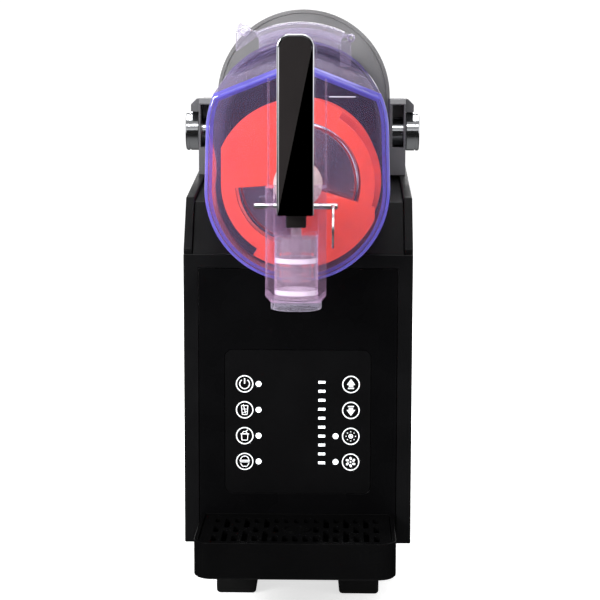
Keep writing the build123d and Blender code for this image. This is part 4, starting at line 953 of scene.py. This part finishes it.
# --- camera ---------------------------------------------------------------------------------------
camera_data = bpy.data.cameras.new("camera")
camera_data.lens = 108
camera_data.sensor_width = 36
camera = bpy.data.objects.new("camera", camera_data)
bpy.context.scene.collection.objects.link(camera)
CAMERA_BACK = 1.4
CAMERA_X = 33 * MM
CAMERA_Z = 417.5 * MM
LOOK_DOWN = math.radians(7.29)
ROLL = math.radians(-0.12)
TURN = math.radians(1.3)
camera.location = (CAMERA_X, CASE_Y - CAMERA_BACK, CAMERA_Z)
camera.rotation_euler = Euler((math.pi / 2 - LOOK_DOWN, ROLL, TURN), "XYZ")
bpy.context.scene.camera = camera

# --- floor, studio card, world and lights ---------------------------------------------------------
# the floor glows a little, so that it stays as white as the backdrop
FLOOR_HALF = 12
FLOOR_GLOW = 0.68
bm = bmesh.new()
bmesh.ops.create_grid(bm, x_segments=8, y_segments=8, size=FLOOR_HALF)
floor_mesh = finish_mesh(bm, "floor")
floor = bpy.data.objects.new("floor", floor_mesh)
bpy.context.scene.collection.objects.link(floor)
floor_look = solid("floor_pale", (0.8, 0.8, 0.8), 0.9, specular=0.0, vary=0.01)
floor_shader = next(n for n in floor_look.node_tree.nodes if n.bl_idname == "ShaderNodeBsdfPrincipled")
floor_shader.inputs["Emission Color"].default_value = (1.0, 1.0, 1.0, 1.0)
floor_shader.inputs["Emission Strength"].default_value = FLOOR_GLOW
floor_mesh.materials.append(floor_look)
floor.visible_glossy = False

# black card behind the camera, seen only in shiny surfaces
CARD_BACK = 2.0
CARD_T = 0.02
CARD_HALF = 1.5
CARD_TOP = 0.6
bm = bmesh.new()
rounded_box(
    bm,
    (-CARD_HALF, CASE_Y - CARD_BACK, CARD_T),
    (CARD_HALF, CASE_Y - CARD_BACK + CARD_T, CARD_TOP),
)
card = bpy.data.objects.new("card", finish_mesh(bm, "card"))
bpy.context.scene.collection.objects.link(card)
card.data.materials.append(solid("card_black", (0.01, 0.01, 0.01), 0.9, specular=0.0))
card.visible_camera = False
card.visible_diffuse = False
card.visible_shadow = False
card.visible_transmission = False

# the sky's strength by the height of the ray, from straight down to straight up: what shiny
# surfaces see in place of the floor, a dark band, a white horizon and grey overhead
SKY = (
    (-1.0, 0.3),
    (-0.75, 0.24),
    (-0.5, 0.02),
    (-0.12, 0.02),
    (-0.05, 1.1),
    (0.12, 1.1),
    (0.35, 0.45),
    (1.0, 0.45),
)
SKY_PEAK = max(strength for _, strength in SKY)
world = bpy.data.worlds.new("studio")
world.use_nodes = True
sky = world.node_tree
direction = wire(sky, "TexCoord").outputs["Generated"]
height = wire(sky, "SeparateXYZ", Vector=direction).outputs["Z"]
along = ranged(sky, height, 0.0, 1.0, -1.0, 1.0)
ramp = wire(sky, "ValToRGB", Fac=along)
stops = ramp.color_ramp.elements
for level, _ in SKY[1:-1]:
    stops.new((level + 1) / 2)
for stop, (_, strength) in zip(stops, SKY):
    stop.color = (strength / SKY_PEAK,) * 3 + (1.0,)
backdrop = sky.nodes["Background"]
sky.links.new(ramp.outputs["Color"], backdrop.inputs["Color"])
backdrop.inputs["Strength"].default_value = SKY_PEAK
bpy.context.scene.world = world


def softbox(name, place, size, power):
    """Rectangular lamp aimed at the middle of the machine."""
    light = bpy.data.lights.new(name, "AREA")
    light.shape = "RECTANGLE"
    light.size, light.size_y = size
    light.energy = power
    lamp = bpy.data.objects.new(name, light)
    bpy.context.scene.collection.objects.link(lamp)
    lamp.location = place
    lamp.rotation_euler = (AIM - Vector(place)).to_track_quat("-Z", "Y").to_euler()


AIM = Vector((0, 0, 300 * MM))
softbox("key", (-1.0, CASE_Y - 1.1, 0.9), (0.6, 0.6), 34)
softbox("front", (0.15, CASE_Y - 1.3, 1.45), (1.5, 0.3), 12)
softbox("top", (0.0, 0.1, 2.0), (1.4, 1.4), 34)
softbox("right", (1.2, CASE_Y - 0.5, 0.8), (0.4, 0.9), 3)
softbox("rear", (0.3, 1.6, 1.2), (1.2, 0.8), 12)
bpy.context.scene.view_settings.view_transform = "Standard"
